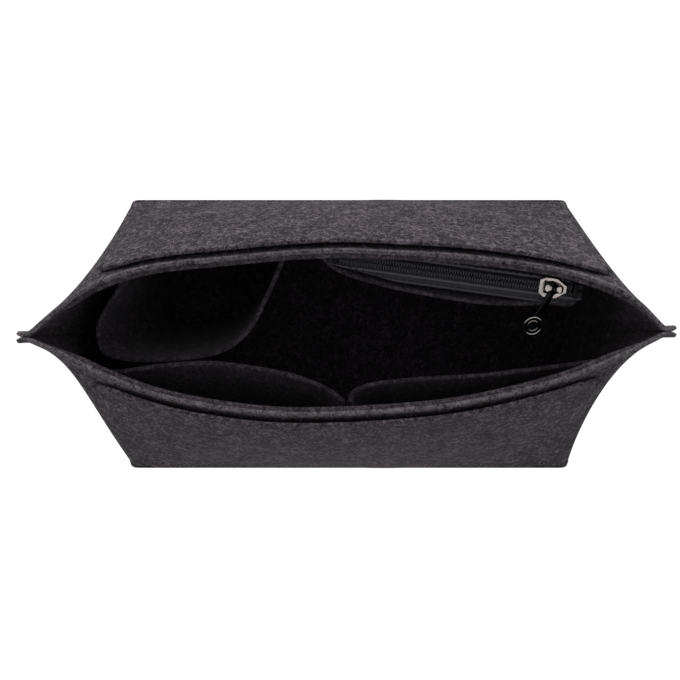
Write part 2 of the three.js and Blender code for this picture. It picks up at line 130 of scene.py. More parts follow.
def addMix(tree, share, a, b):  # two numbers
    return addNode(tree, "ShaderNodeMix", {}, {"Factor": share, 2: a, 3: b}).outputs[0]


def addBlend(tree, share, a, b):  # two colours
    return addNode(tree, "ShaderNodeMix", {"data_type": "RGBA"}, {"Factor": share, 6: a, 7: b}).outputs[2]


def addRange(tree, value, low, high, span=(0.0, 1.0), kind="LINEAR"):  # the span taken to low to high
    return addNode(tree, "ShaderNodeMapRange", {"interpolation_type": kind}, {
        "Value": value, "From Min": span[0], "From Max": span[1], "To Min": low, "To Max": high,
    }).outputs["Result"]


def addMath(tree, operation, a, b):
    return addNode(tree, "ShaderNodeMath", {"operation": operation}, {0: a, 1: b}).outputs[0]


def addMark(tree, name):  # a number that the mesh holds at each point
    return addNode(tree, "ShaderNodeAttribute", {"attribute_name": name}).outputs["Fac"]


def addBump(tree, height, strength, reliefMm):
    return addNode(tree, "ShaderNodeBump", {}, {
        "Strength": strength, "Distance": reliefMm / metre, "Height": height}).outputs["Normal"]


def addShaderMix(tree, output, share, a, b):
    mix = addNode(tree, "ShaderNodeMixShader", {}, {0: share, 1: a.outputs[0], 2: b.outputs[0]})
    tree.links.new(mix.outputs[0], output.inputs["Surface"])


def addSurface(tree, output, inputs):
    shader = addNode(tree, "ShaderNodeBsdfPrincipled", {}, inputs)
    tree.links.new(shader.outputs[0], output.inputs["Surface"])


def objectPlace(tree):
    return addNode(tree, "ShaderNodeTexCoord").outputs["Object"]


def stretched(tree, place, upright):
    return addNode(tree, "ShaderNodeMapping", {}, {"Vector": place, "Scale": (1.0, 1.0, upright)}).outputs[0]


# Pressed wool-blend felt: matted short fibres in two shades, no weave, no shine, paler where it is cut,
# partly for the cut fibres and partly as a painted highlight on edges that catch the light
felt = {
    "strandMm": 0.55,
    "strandDraw": 0.2,
    "curlMm": 5.0,
    "curlReach": 0.009,  # metres that a strand is bent aside
    "fibreMm": 0.8,
    "tuftMm": 2.4,
    "cloudMm": 12.0,
    "speckShare": 0.5,
    "tuftShare": 0.5,
    "cloudShare": 0.1,
    "layUpright": 0.55,  # fibres lie along the height, so the grain is longer that way
    "dark": "#1b171c",
    "mid": "#453e46",
    "pale": "#a69aa4",
    "stops": (0.42, 0.5, 0.58),
    # cut edges are blended to this pale: partly the cut fibres' own colour, partly a painted highlight
    "cut": "#b3acb3",
    "fray": (0.38, 0.62),
    "insideShadeLevel": 1.05,  # faces inside the insert get a painted change of tone for the shade there, the same felt: a little paler, with less mottle
    "insideShadeContrast": 0.35,
    "reliefMm": 0.4,
}


def makeFelt():
    material, tree, output = newMaterial("pressed charcoal felt")
    place = stretched(tree, objectPlace(tree), felt["layUpright"])
    warp = addNoise(tree, place, felt["curlMm"], 2.0, output="Color")
    bent = addNode(tree, "ShaderNodeVectorMath", {"operation": "MULTIPLY_ADD"}, {
        0: warp, 1: (felt["curlReach"],) * 3, 2: place}).outputs[0]
    strand = addNoise(tree, stretched(tree, bent, felt["strandDraw"]), felt["strandMm"], 1.0)
    speck = addNoise(tree, bent, felt["fibreMm"], 2.0, 0.6)
    tuft = addNoise(tree, bent, felt["tuftMm"], 4.0, 0.7)
    cloud = addNoise(tree, place, felt["cloudMm"], 2.0)
    matted = addMix(tree, felt["tuftShare"], addMix(tree, felt["speckShare"], strand, speck), tuft)
    mottle = addMix(tree, felt["cloudShare"], matted, cloud)
    colour = addRamp(tree, mottle, list(zip(felt["stops"], (felt["dark"], felt["mid"], felt["pale"]))))
    # painted tone for shade: faces marked inside are toned apart from the outer ones
    inside = addMark(tree, "inside")
    contrast = addRange(tree, inside, 1.0, felt["insideShadeContrast"])
    level = addRange(tree, inside, 1.0, felt["insideShadeLevel"])
    toned = addBlend(tree, contrast, linear(felt["mid"]), colour)
    frayed = addRange(tree, matted, 0.0, 1.0, felt["fray"])
    # cut edges paled, partly for the cut fibres, partly as a painted highlight
    cutShare = addMath(tree, "MULTIPLY", addMark(tree, "cutEdge"), frayed)
    shade = addBlend(tree, cutShare, toned, linear(felt["cut"]))
    shade = addNode(tree, "ShaderNodeVectorMath", {"operation": "SCALE"}, {
        0: shade, "Scale": level}).outputs[0]
    addSurface(tree, output, {
        "Base Color": shade, "Roughness": 0.96, "Specular IOR Level": 0.12, "Sheen Weight": 0.08,
        "Sheen Roughness": 0.6, "Normal": addBump(tree, matted, 0.7, felt["reliefMm"])})
    return material


# Polyester zip tape: a fine twill with raised lengthwise ribs, painted paler by their height as a painted
# highlight where they catch the light
tapeWeave = {"pitchMm": 0.9, "dark": "#111015", "pale": "#25242b", "rib": "#87858f", "reliefMm": 0.12}


def makeTape():
    material, tree, output = newMaterial("woven polyester tape")
    twill = addWave(tree, tapeWeave["pitchMm"], "DIAGONAL", {"Distortion": 0.6, "Detail": 1.0})
    yarn = addWave(tree, tapeWeave["pitchMm"], "X", {"Distortion": 0.3})
    weave = addMix(tree, 0.4, twill, yarn)
    ground = addRamp(tree, weave, [(0.1, tapeWeave["dark"]), (0.9, tapeWeave["pale"])])
    # the ribs blended to the rib colour by their height: a painted highlight
    addSurface(tree, output, {
        "Base Color": addBlend(tree, addMark(tree, "cutEdge"), ground, linear(tapeWeave["rib"])),
        "Roughness": 0.7, "Specular IOR Level": 0.35, "Sheen Weight": 0.15,
        "Normal": addBump(tree, weave, 0.8, tapeWeave["reliefMm"])})
    return material


# Drawn nylon filament: black, smooth, a soft gloss along each turn
coilNylon = {"colour": "#434248", "worn": "#5b5a61", "patchMm": 3.0, "gloss": 0.28, "dull": 0.5}


def makeNylon():
    material, tree, output = newMaterial("drawn black nylon")
    patch = addNoise(tree, objectPlace(tree), coilNylon["patchMm"], 2.0)
    addSurface(tree, output, {
        "Base Color": addRamp(tree, patch, [(0.4, coilNylon["colour"]), (0.7, coilNylon["worn"])]),
        "Roughness": addRange(tree, patch, coilNylon["gloss"], coilNylon["dull"]), "IOR": 1.53})
    return material


# Polyester sewing thread: two plies twisted together, so each stitch carries slanting ridges
sewing = {"plyMm": 0.55, "dark": "#0f0e10", "pale": "#2a282b", "reliefMm": 0.08}


def makeThread():
    material, tree, output = newMaterial("twisted polyester thread")
    twist = addWave(tree, sewing["plyMm"], "DIAGONAL")
    addSurface(tree, output, {
        "Base Color": addRamp(tree, twist, [(0.1, sewing["dark"]), (0.9, sewing["pale"])]),
        "Roughness": 0.6, "Specular IOR Level": 0.35,
        "Normal": addBump(tree, twist, 0.8, sewing["reliefMm"])})
    return material


# Zinc casting with a polished gunmetal plating: a mirror with a warm grey tint and faint handling haze
gunmetal = {
    "colour": "#b3aba7", "worn": "#958e8a", "paintedHighlight": "#b3aba7", "hazeMm": 4.0, "polish": 0.1, "haze": 0.22,
}

# The pull's gunmetal painted darker as painted shade, a dark mirror, with a painted highlight on the raised
# lips about its hole
shadedPullPlating = {
    "colour": "#1e1c1b", "worn": "#171615", "paintedHighlight": "#a9a29d", "hazeMm": 2.0, "polish": 0.14, "haze": 0.3,
}


def makePlating(name, plating):
    material, tree, output = newMaterial(name)
    haze = addNoise(tree, objectPlace(tree), plating["hazeMm"], 4.0)
    colour = addRamp(tree, haze, [(0.35, plating["worn"]), (0.6, plating["colour"])])
    # blended to the painted highlight colour where the mesh is marked
    addSurface(tree, output, {
        "Base Color": addBlend(tree, addMark(tree, "cutEdge"), colour, linear(plating["paintedHighlight"])),
        "Roughness": addRange(tree, haze, plating["polish"], plating["haze"]), "Metallic": 1.0})
    return material


# Stop clip: metal painted near black as painted shade, where the clips sit in the dark, with a dull finish
clipShade = {"colour": "#1c1b1d", "worn": "#2e2d2f", "patchMm": 1.5}


def makeShadedClip():
    material, tree, output = newMaterial("metal clip painted dark as shade")
    patch = addNoise(tree, objectPlace(tree), clipShade["patchMm"], 3.0)
    addSurface(tree, output, {
        "Base Color": addRamp(tree, patch, [(0.45, clipShade["colour"]), (0.7, clipShade["worn"])]),
        "Roughness": 0.6, "Specular IOR Level": 0.15})
    return material


finishes = {
    "felt": makeFelt(),
    "zip_tape": makeTape(),
    "coil": makeNylon(),
    "thread": makeThread(),
    "slider_metal": makePlating("polished gunmetal plating", gunmetal),
    "pull": makePlating("pull plating painted dark with highlights", shadedPullPlating),
    "clip": makeShadedClip(),
}
print("materials made:", ", ".join(finishes))


# Meshes from whole arrays


def unit(vectors):  # each vector at length 1
    return vectors / np.maximum(np.linalg.norm(vectors, axis=-1, keepdims=True), 1e-9)


def turnOf(count):  # angles of that many even steps round one turn
    return np.linspace(0, 2 * np.pi, count, endpoint=False)


def eased(share):  # from 0 to 1, level at both ends
    return share ** 2 * (3 - 2 * share)


def faceNormals(grid):
    return unit(np.cross(np.gradient(grid, axis=1), np.gradient(grid, axis=0)))


def arcLength(points, axis):  # running length along one grid direction
    steps = np.linalg.norm(np.diff(points, axis=axis), axis=-1)
    start = np.zeros_like(np.take(steps, [0], axis=axis))
    return np.concatenate([start, np.cumsum(steps, axis=axis)], axis=axis)


def gridQuads(rows, columns, aroundRows=False, aroundColumns=False):
    # four corners of each cell of a grid, closed round where asked
    r = np.arange(rows if aroundRows else rows - 1)[:, None]
    c = np.arange(columns if aroundColumns else columns - 1)[None, :]
    here, ahead = r * columns, (r + 1) % rows * columns
    nextColumn = (c + 1) % columns
    corners = [here + c, here + nextColumn, ahead + nextColumn, ahead + c]
    return np.stack(np.broadcast_arrays(*corners), axis=-1).reshape(-1, 4)


def makeMesh(name, points, quads, slot, node=None, rider="insert", uv=None, marks=None, finish=None):
    # points in mm, marks per vertex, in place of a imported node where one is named
    mesh = bpy.data.meshes.new(name)
    mesh.from_pydata(points.reshape(-1, 3) / metre, [], quads)
    if uv is not None:
        loops = np.zeros(len(mesh.loops), np.int32)
        mesh.loops.foreach_get("vertex_index", loops)
        layer = mesh.uv_layers.new(name="cloth")
        layer.data.foreach_set("uv", (uv.reshape(-1, 2)[loops] / metre).astype(np.float32).ravel())
    for mark, values in (marks or {}).items():
        attribute = mesh.attributes.new(mark, "FLOAT", "POINT")
        attribute.data.foreach_set("value", np.asarray(values, np.float32).ravel())
    mesh.polygons.foreach_set("use_smooth", np.ones(len(mesh.polygons), bool))
    mesh.materials.append(finishes[finish or slot])
    mesh.validate()
    piece = bpy.data.objects.new(name, mesh)
    bpy.context.scene.collection.objects.link(piece)
    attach(piece, rider)
    if node:
        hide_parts(node)
    return piece


def outwards(points, quads):  # flips all faces where the closed volume comes out negative
    a, b, c, d = (points.reshape(-1, 3)[quads[:, k]] for k in range(4))
    volume = (a * np.cross(b, c)).sum() + (a * np.cross(c, d)).sum()
    return quads[:, ::-1] if volume < 0 else quads


# A cut sheet: both faces of a mid surface, half the thickness off it along its normal, drawn in near the
# cut edges by a quarter circle, with a strip that closes each edge
cutEdge = {
    "roundMm": 0.8, "keep": 0.5, "paleMm": 1.1,
    "wall": 2.0, "slip": 0.45, "lining": 0.2, "panel": 1.0, "pocket": 0.1,  # how pale each kind of sheet is painted at its cut edges: partly the cut fibres, partly a painted highlight, strongest on the outer plies that the light reaches
}


def closedSheet(mid, thickness):
    rows, columns = mid.shape[:2]
    normal = faceNormals(mid)
    across, climb = arcLength(mid, 1), arcLength(mid, 0)
    side = np.minimum(across, across[:, -1:] - across)
    end = np.minimum(climb, climb[-1:] - climb)
    away = np.minimum(side, end)
    bend = np.sqrt(1 - (1 - np.clip(away / cutEdge["roundMm"], 0, 1)) ** 2)
    half = thickness / 2 * (cutEdge["keep"] + (1 - cutEdge["keep"]) * bend)
    points = np.stack([mid + half[..., None] * normal, mid - half[..., None] * normal])
    face = gridQuads(rows, columns)
    count = rows * columns
    index = np.arange(count).reshape(rows, columns)
    border = np.concatenate([index[0, :-1], index[:-1, -1], index[-1, :0:-1], index[:0:-1, 0]])
    ahead = np.roll(border, -1)
    strip = np.stack([border, border + count, ahead + count, ahead], axis=-1)
    quads = np.concatenate([face, face[:, ::-1] + count, strip])
    uv = np.stack([across, climb], axis=-1)
    # paleness by the cut edges: partly the cut fibres, partly a painted highlight
    pale = np.exp(-away / cutEdge["paleMm"])
    return points, outwards(points, quads), np.stack([uv, uv]), np.stack([pale, pale])


def sheetPiece(name, mid, thickness, node, inside=(1, 1)):
    # a sheet that stands for a imported node, inside saying which of its two faces lie inside the insert
    points, quads, uv, pale = closedSheet(mid, thickness)
    # the cut edges' paleness set by kind of sheet, partly a painted highlight that is strongest where the
    # light reaches
    pale = np.clip(pale * cutEdge["slip" if "slip" in node else node.split("_")[-1]], 0, 1)
    # mask of the faces inside the insert, less near cut edges, which take the felt's painted tone for shade
    within = np.ones_like(pale) * np.array(inside)[:, None, None] * (1 - np.clip(pale, 0, 1))
    piece = makeMesh(name, points, quads, "felt", node, uv=uv, marks={"cutEdge": pale, "inside": within})


def edgeSpaced(length, count, near=(0.0, 0.15, 0.4, 0.8, 1.4)):
    # shares from 0 to 1: close together by both ends, where the cut edge rounds, and even between
    ends = np.array(near) / length
    inner = np.linspace(ends[-1], 1 - ends[-1], count)
    return np.concatenate([ends[:-1], inner, 1 - ends[-2::-1]])


def edgeLevels(low, high, count=60, **near):  # levels from low to high, spaced in that way
    return low + (high - low) * edgeSpaced(high - low, count, **near)


# Body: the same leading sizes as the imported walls, read from the frame where a box gives them
baseLow, baseHigh = nodeBox("base_panel")
wallLow, wallHigh = nodeBox("back_wall")
body = {
    "ply": 2.2,
    "gap": 0.3,
    "liningThick": 3.5,  # the inner ply is matted on to the outer one, so part of it lies inside that
    "liningDrop": 1.4,
    "height": wallHigh[2],
    "baseHalf": baseHigh[0],
    "liningEnd": 0.8,
    "liningTaper": 24.0,
    "finLength": 4.5,
    "finSoftness": 3.0,
    "finSeam": (0.3, 1.4),
    "finOpens": 2.4,
    "finSplay": 1.0,
    "cornerSoftness": 9.0,
    "footFold": 2.5,
    "baseTrim": (0.2, 0.8),  # the base is cut in at its front and back corners
    "baseTrimPower": 8,
    "baseRound": 2.0,
    "baseTongue": 1.5,
    "tongueHalf": 12.0,
    "belly": 3.0,
    "fallFrom": 15.0,
    "seamPress": 0.06,  # the fin's plies are pressed together by its seam, over this reach from the root
    "seamReach": 4.0,
    "twist": 1.25,
    "lean": 0.55,
}
body["baseDepth"] = baseHigh[1] - body["gap"] - body["ply"]
body["tipReach"] = wallHigh[0] - body["finLength"]
# each wall's left and right corner at the rim, how far its fold bows in on the way there, and the form of
# the rim between them: its depth in the middle, how late it turns in and how much it falls away
backRim = {
    "side": 1, "mouthDepth": 37.3, "reach": (124.2, 127.4), "cornerDepth": (16.0, 15.8), "bow": (1.4, 0.4),
    "fullness": (5.0, 4.0), "fall": (0.085, 0.085), "slipInset": (4.4, 0.0),
}
frontRim = {
    "side": -1, "mouthDepth": 36.5, "reach": (124.6, 123.5), "cornerDepth": (9.0, 10.4), "bow": (-1.6, 2.5),
    "fullness": (2.65, 2.9), "fall": (0.0, 0.075), "slipInset": (2.6, 0.0),
}
rims = {"back": backRim, "front": frontRim}
handed = (("left", 1), ("right", -1))
wallFoot = body["ply"] + body["gap"]
liningFoot = 2 * wallFoot
liningFace = 2 * body["ply"] + body["gap"]
sewnOn = liningFace + body["gap"] + body["ply"] / 2
liningSetback = 4.5


def mixed(a, b, share):
    return a + (b - a) * share


def bezier(a, b, c, share):  # quadratic curve from a to c that leaves towards b, for whole arrays
    a, b, c = a[:, None], b[:, None], c[:, None]
    t = share[None, :, None]
    return (1 - t) ** 2 * a + 2 * t * (1 - t) * b + t ** 2 * c


def straight(a, b, share):
    return a[:, None] + (b - a)[:, None] * share[None, :, None]


def leading(rim, z, end):
    # fin root, corner and middle depth of one wall's outer face at heights z, y outwards
    rise = z / body["height"]
    arch = 4 * rise * (1 - rise)
    tip = mixed(body["baseHalf"], body["tipReach"], rise)
    reach = mixed(body["baseHalf"], rim["reach"][end], rise) - rim["bow"][end] * arch
    depth = mixed(body["baseDepth"], rim["cornerDepth"][end], rise)
    apex = mixed(body["baseDepth"], rim["mouthDepth"], rise) + body["belly"] * arch
    root = np.stack([-tip, np.full_like(tip, body["ply"] + body["gap"] / 2)], axis=-1)
    return root, np.stack([-reach, depth], axis=-1), apex


def wallDepth(rim, z, end, x):
    # outer face at distances x from the middle: the middle depth less a power of the way to the corner,
    # less a fall that grows from nothing in the middle and is gone again at the corner
    _, corner, apex = leading(rim, z, end)
    share = x / -corner[:, :1]
    turned = (apex[:, None] - corner[:, 1:]) * share ** rim["fullness"][end]
    fallen = rim["fall"][end] * x ** 2 / (x + body["fallFrom"]) * (1 - share ** 2)
    return apex[:, None] - turned - fallen * z[:, None] / body["height"]


def toward(a, b, distance):  # the point that far from a on the way to b
    return a + unit(b - a) * distance


def foldSoftness(z, outer):  # outer plies fold sharply at the base and softly at the rim
    soft = np.full(z.shape, body["cornerSoftness"])
    sharp = mixed(body["footFold"], body["cornerSoftness"], z / body["height"])
    return (sharp if outer else soft)[:, None]


def halfLine(rim, z, end, start, counts, outer=False, foldFrom=0.0):
    # one half as if it were the left one: the end panel from start past the root, the fold round the
    # corner, then the bowed wall to its middle
    root, corner, _ = leading(rim, z, end)
    soft = foldSoftness(z, outer)
    inset = (rim["slipInset"][end] * z / body["height"])[:, None] if foldFrom == 1 else 0
    x = (-corner[:, :1] - soft - inset) * np.linspace(1, 0, counts[2])[None]
    wall = np.stack([-x, wallDepth(rim, z, end, x)], axis=-1)
    if foldFrom == 1:
        return wall
    bendStart = toward(corner, root, soft)
    fold = bezier(bendStart, corner, wall[:, 0], np.linspace(foldFrom, 1, counts[1]))
    wall = wall[:, 1:]
    if foldFrom > 0:
        return np.concatenate([fold, wall], axis=1)
    panel = straight(toward(root, corner, start), bendStart, np.linspace(0, 1, counts[0])[:-1])
    return np.concatenate([panel, fold, wall], axis=1)


def wholeLine(left, right):  # a left half and the mirror image of a right one
    return np.concatenate([left, right[:, -2::-1] * np.array([-1, 1])], axis=1)


def wallLine(rim, z, start, outer=False, foldFrom=0.0):
    halves = [halfLine(rim, z, end, start, sectionCounts, outer, foldFrom) for end in (0, 1)]
    return wholeLine(*halves)


def offset(line, distance):  # a plan line moved to the left of its direction
    along = unit(np.gradient(line, axis=1))
    return line + np.asarray(distance)[..., None] * np.stack([-along[..., 1], along[..., 0]], axis=-1)


ripples = {"heightMm": 0.35, "long": (23, 31), "short": (11, 17), "shortShare": 0.6, "until": 85, "fade": 20}


def ripple(x, z):
    # the felt's slow waves, shared by the plies that lie on each other: a product of two long sines and a
    # share of a short slanting one, faded out before the corners
    longX, longZ = ripples["long"]
    shortX, shortZ = ripples["short"]
    wave = np.sin(x / longX + 0.6) * np.sin(z / longZ + 1.1)
    wave = wave + ripples["shortShare"] * np.sin(x / shortX - z / shortZ)
    return ripples["heightMm"] * wave * np.clip(1 - (np.abs(x) - ripples["until"]) / ripples["fade"], 0, 1)


def sway(points):  # the mouth as it stands: its left fin leans to the front, its right fin to the back
    x = points[..., 0] / body["tipReach"]
    points[..., 1] += points[..., 2] / body["height"] * (body["twist"] * x - body["lean"] * x ** 2)
    return points


def stand(line, rim, z):  # a plan line per height, or per grid of heights, put into space
    z = np.broadcast_to(z if z.ndim == 2 else z[:, None], line.shape[:2])
    y = rim["side"] * (line[..., 1] + ripple(line[..., 0], z))
    return sway(np.stack([line[..., 0], y, z], axis=-1))


sectionCounts = (16, 14, 70)
finColumns = np.array([0, 0.05, 0.13, 0.27, 0.45, 0.65, 0.85])


def edgeColumns(line, near=(0.15, 0.4, 0.8, 1.4)):  # extra columns within the first and last cell of a line
    def within(start, following):
        cell = np.linalg.norm(following - start, axis=-1, keepdims=True)
        steps = [np.minimum(d, cell * d / (near[-1] + 0.4)) for d in near]
        return [start + unit(following - start) * step for step in steps]
    first = within(line[:, 0], line[:, 1])
    last = within(line[:, -1], line[:, -2])[::-1]
    parts = [line[:, :1], np.stack(first, 1), line[:, 1:-1], np.stack(last, 1), line[:, -1:]]
    return np.concatenate(parts, axis=1)


def finHalf(rim, z, end):  # fin, curve at its root and half section of the outer face
    root, corner, _ = leading(rim, z, end)
    finEnd = root - np.array([body["finLength"], 0])
    rootStart = root.copy()
    rootStart[:, 0] -= mixed(*body["finSeam"], z / body["height"])
    rootEnd = toward(root, corner, body["finSoftness"])
    fin = straight(finEnd, rootStart, finColumns)
    curve = bezier(rootStart, root, rootEnd, np.linspace(0, 1, 10)[:-1])
    half = halfLine(rim, z, end, body["finSoftness"], sectionCounts, True)
    return np.concatenate([fin, curve, half], axis=1)


def wallMid(rim, z):
    # half a ply inside the outer face, the plies touching along the seam and parting at the tip
    line = offset(wholeLine(finHalf(rim, z, 0), finHalf(rim, z, 1)), -body["ply"] / 2)
    past = np.abs(line[..., 0]) - mixed(body["baseHalf"], body["tipReach"], z / body["height"])[:, None]
    line[..., 1] -= (body["gap"] / 2 + body["seamPress"]) * np.clip(1 + past / body["seamReach"], 0, 1)
    opened = np.clip((past - body["finOpens"]) / (body["finLength"] - body["finOpens"]), 0, 1)
    line[..., 1] += body["finSplay"] * opened ** 1.5
    return line


def liningMid(rim, z):  # with its thickness, which runs out into the wall ply towards both ends
    line = edgeColumns(wallLine(rim, z, liningSetback))
    run = arcLength(line, 1)
    share = np.clip(np.minimum(run, run[:, -1:] - run) / body["liningTaper"], 0, 1)
    full = eased(share)
    thick = mixed(body["liningEnd"], body["liningThick"], full)
    face = mixed(body["ply"] + body["gap"], liningFace, full)
    return offset(line, thick / 2 - face), thick


mids = {}  # mid surfaces kept for the seams that run on them
for side, rim in rims.items():
    wallZ = edgeLevels(wallFoot, body["height"])
    mids[f"{side} wall"] = stand(wallMid(rim, wallZ), rim, wallZ)
    sheetPiece(f"{side}_felt_wall", mids[f"{side} wall"], body["ply"], f"{side}_wall",
               (1, 0) if side == "back" else (0, 1))
    liningZ = edgeLevels(liningFoot, body["height"] - body["liningDrop"])
    lining, liningThick = liningMid(rim, liningZ)
    sheetPiece(f"{side}_felt_lining", stand(lining, rim, liningZ), liningThick, f"{side}_lining")
print("walls and linings made")


# Base: flat sheets whose rows run along the length and shorten round the corners
def basePlate(halfLength, halfDepth, z):
    radius = body["footFold"] + body["baseRound"]
    y = halfDepth * (2 * edgeSpaced(2 * halfDepth, 60) - 1)
    turn = 1 - np.sqrt(1 - np.clip((np.abs(y) - halfDepth + radius) / radius, 0, 1))
    trimmed = np.where(y < 0, *body["baseTrim"]) * np.abs(y / halfDepth) ** body["baseTrimPower"]
    tongue = body["baseTongue"] * np.exp(-(y / body["tongueHalf"]) ** 2)  # under each end seam
    reach = halfLength - radius * turn ** 2 - trimmed + tongue
    x = reach[:, None] * (2 * edgeSpaced(2 * halfLength, 90)[None, :] - 1)
    return np.stack([x, np.broadcast_to(y[:, None], x.shape), np.full_like(x, z)], axis=-1)


_, liningHigh = nodeBox("base_lining")
basePanel = basePlate(baseHigh[0], baseHigh[1], body["ply"] / 2)
baseLining = basePlate(liningHigh[0], liningHigh[1], wallFoot + body["ply"] / 2)
sheetPiece("base_felt_panel", basePanel, body["ply"], "base_panel", (0, 0))
sheetPiece("base_felt_lining", baseLining, body["ply"], "base_lining")
print("base made")


# Slip pockets: on the wall at the foot and ends, standing open along the top, which dips at both ends
slipPocket = {
    "drop": 0.4, "endDrop": 14.0, "endReach": 9.0, "gape": 2.2, "foldFrom": 1, "fullness": 8.0,
    "thinned": 0.3, "thinReach": 2.5,
}


def readAt(line, levels, z):  # plan lines at the levels, read at a grid of heights, linear between levels
    place = np.interp(z, levels, np.arange(len(levels)))
    below = np.clip(place.astype(int), 0, len(levels) - 2)
    share = (place - below)[..., None]
    column = np.arange(line.shape[1])[None]
    return line[below, column] * (1 - share) + line[below + 1, column] * share


def slipMid(rim):
    top = body["height"] - slipPocket["drop"]
    levels = np.linspace(wallFoot, top, 90)
    line = wallLine(rim, levels, liningSetback, True, slipPocket["foldFrom"])
    line = edgeColumns(offset(line, body["gap"] + body["ply"] / 2))
    run = arcLength(line[-1:], 1)[0]
    dip = slipPocket["endDrop"] * np.exp(-np.minimum(run, run[-1] - run) / slipPocket["endReach"])
    climb = edgeSpaced(top - wallFoot, 60)[:, None]
    z = wallFoot + (top - dip - wallFoot)[None] * climb
    line = readAt(line, levels, z)
    closed = np.abs(2 * run / run[-1] - 1) ** slipPocket["fullness"]
    line[..., 1] += slipPocket["gape"] * climb ** 2 * (1 - closed)
    return stand(line, rim, z)


for side, rim in rims.items():
    mids[f"{side} slip"] = slipMid(rim)
    fromTop = arcLength(mids[f"{side} slip"][::-1], 0)[::-1]
    thinned = body["ply"] - slipPocket["thinned"] * np.exp(-fromTop / slipPocket["thinReach"])
    sheetPiece(f"{side}_felt_slip_pocket", mids[f"{side} slip"], thinned, f"{side}_slip_pocket",
               (0, 0))
print("slip pockets made")


# Inner pockets: sheets ruled between a foot line and a top line drawn through a few points


def smoothLine(points, count):
    # a curve through the points, blended from straight runs between them that are timed by the root of their
    # length, read at even spacing
    points = np.asarray(points, float)
    padded = np.concatenate([2 * points[:1] - points[1:2], points, 2 * points[-1:] - points[-2:-1]])
    knots = np.concatenate([[0], np.cumsum(np.sqrt(np.linalg.norm(np.diff(padded, axis=0), axis=1)))])
    t = np.linspace(knots[1], knots[-2], 1200)
    k = np.clip(np.searchsorted(knots, t, side="right") - 1, 1, len(points) - 1)
    p0, p1, p2, p3 = (padded[k + i] for i in (-1, 0, 1, 2))
    t0, t1, t2, t3 = (knots[k + i][:, None] for i in (-1, 0, 1, 2))
    t = t[:, None]

    def between(a, b, start, end):
        return (end - t) / (end - start) * a + (t - start) / (end - start) * b
    a1, a2, a3 = between(p0, p1, t0, t1), between(p1, p2, t1, t2), between(p2, p3, t2, t3)
    curve = between(between(a1, a2, t0, t2), between(a2, a3, t1, t3), t1, t2)
    run = arcLength(curve, 0)
    at = edgeSpaced(run[-1], count) * run[-1]
    return np.stack([np.interp(at, run, curve[:, i]) for i in range(3)], axis=-1)


def liningAt(rim, x, z, inset):  # how far the lining's face, less what is sewn on it, stands from the middle
    level = np.array([float(z)])
    line = offset(wallLine(rim, level, liningSetback), -inset)[0]
    return float(np.interp(x, line[:, 0], line[:, 1]))


pocketColumns, pocketRows = 120, 48


def ruled(rim, foot, top, swayed=True):  # straight from each point of one line to its fellow on the other
    foot, top = smoothLine(foot, pocketColumns), smoothLine(top, pocketColumns)
    share = edgeSpaced(np.linalg.norm(top - foot, axis=1).mean(), pocketRows)[:, None, None]
    mid = foot[None] + (top - foot)[None] * share
    mid[..., 1] *= rim["side"]
    return sway(mid) if swayed else mid


frontPocket = {
    "drop": 22.0, "foot": 25.0, "gape": 20.0, "foldFrom": 0.35,
    "seamLift": 5.8, "liftReach": 6.0, "liftPower": 6,  # how the felt springs off above the middle seam
    "leftEdge": [(0.05, 0.54), (0.18, 0.87), (0.38, 1.04), (0.52, 1.01), (0.7, 0.69), (0.9, 0.13)],
    "rightEdge": [(0.008, 0.47), (0.03, 0.58), (0.08, 0.67), (0.22, 0.72), (0.5, 0.61), (0.8, 0.38)],
}
frontPocket["top"] = body["height"] - frontPocket["drop"]
frontPocket["start"] = body["ply"] / 2 + body["gap"] / 2


def endPanelLine(z, end):  # from the middle of the front lining round to the end panel
    level = np.array([float(z)])
    half = halfLine(frontRim, level, end, liningSetback, (5, 6, 9), False, frontPocket["foldFrom"])
    line = offset(half, -sewnOn)[0][::-1].copy()
    line[0, 0] = -frontPocket["start"]
    return line


def frontEdge(shares, end):  # the top edge stands off the lining by shares of the gape
    z = frontPocket["top"]
    line = endPanelLine(z, end)
    along, off = np.array(shares).T
    x = -frontPocket["start"] + (line[-1, 0] + frontPocket["start"]) * along
    facing = -1 if end else 1
    y = np.array([liningAt(frontRim, facing * a, z, sewnOn) for a in x]) - off * frontPocket["gape"]
    seam = line[:1] - [0, frontPocket["seamLift"]]
    return np.concatenate([seam, np.stack([x, y], axis=-1), line[-1:]])


def atLevel(line, z):
    return np.concatenate([line, np.full((len(line), 1), float(z))], axis=1)


footLines = [atLevel(endPanelLine(frontPocket["foot"], end), frontPocket["foot"]) for end in (0, 1)]
leftEdge = atLevel(frontEdge(frontPocket["leftEdge"], 0), frontPocket["top"])
rightEdge = atLevel(frontEdge(frontPocket["rightEdge"], 1), frontPocket["top"])
mirror = np.array([-1, 1, 1])
frontSheets = {
    "left": ruled(frontRim, footLines[0], leftEdge),
    "right": ruled(frontRim, (footLines[1] * mirror)[::-1], (rightEdge * mirror)[::-1]),
}
for side, mid in frontSheets.items():
    fromSeam = arcLength(mid, 1)
    if side == "right":
        fromSeam = fromSeam[:, -1:] - fromSeam
    climb = arcLength(mid, 0)
    climb = climb / climb[-1]
    sprung = frontPocket["seamLift"] * (climb ** frontPocket["liftPower"] - climb)
    # by the seam it is sewn down until near the top
    mid[..., 1] += sprung * np.exp(-(fromSeam / frontPocket["liftReach"]) ** 2)
    sheetPiece(f"front_{side}_felt_pocket", mid, body["ply"], f"front_{side}_pocket")
print("front pockets made")


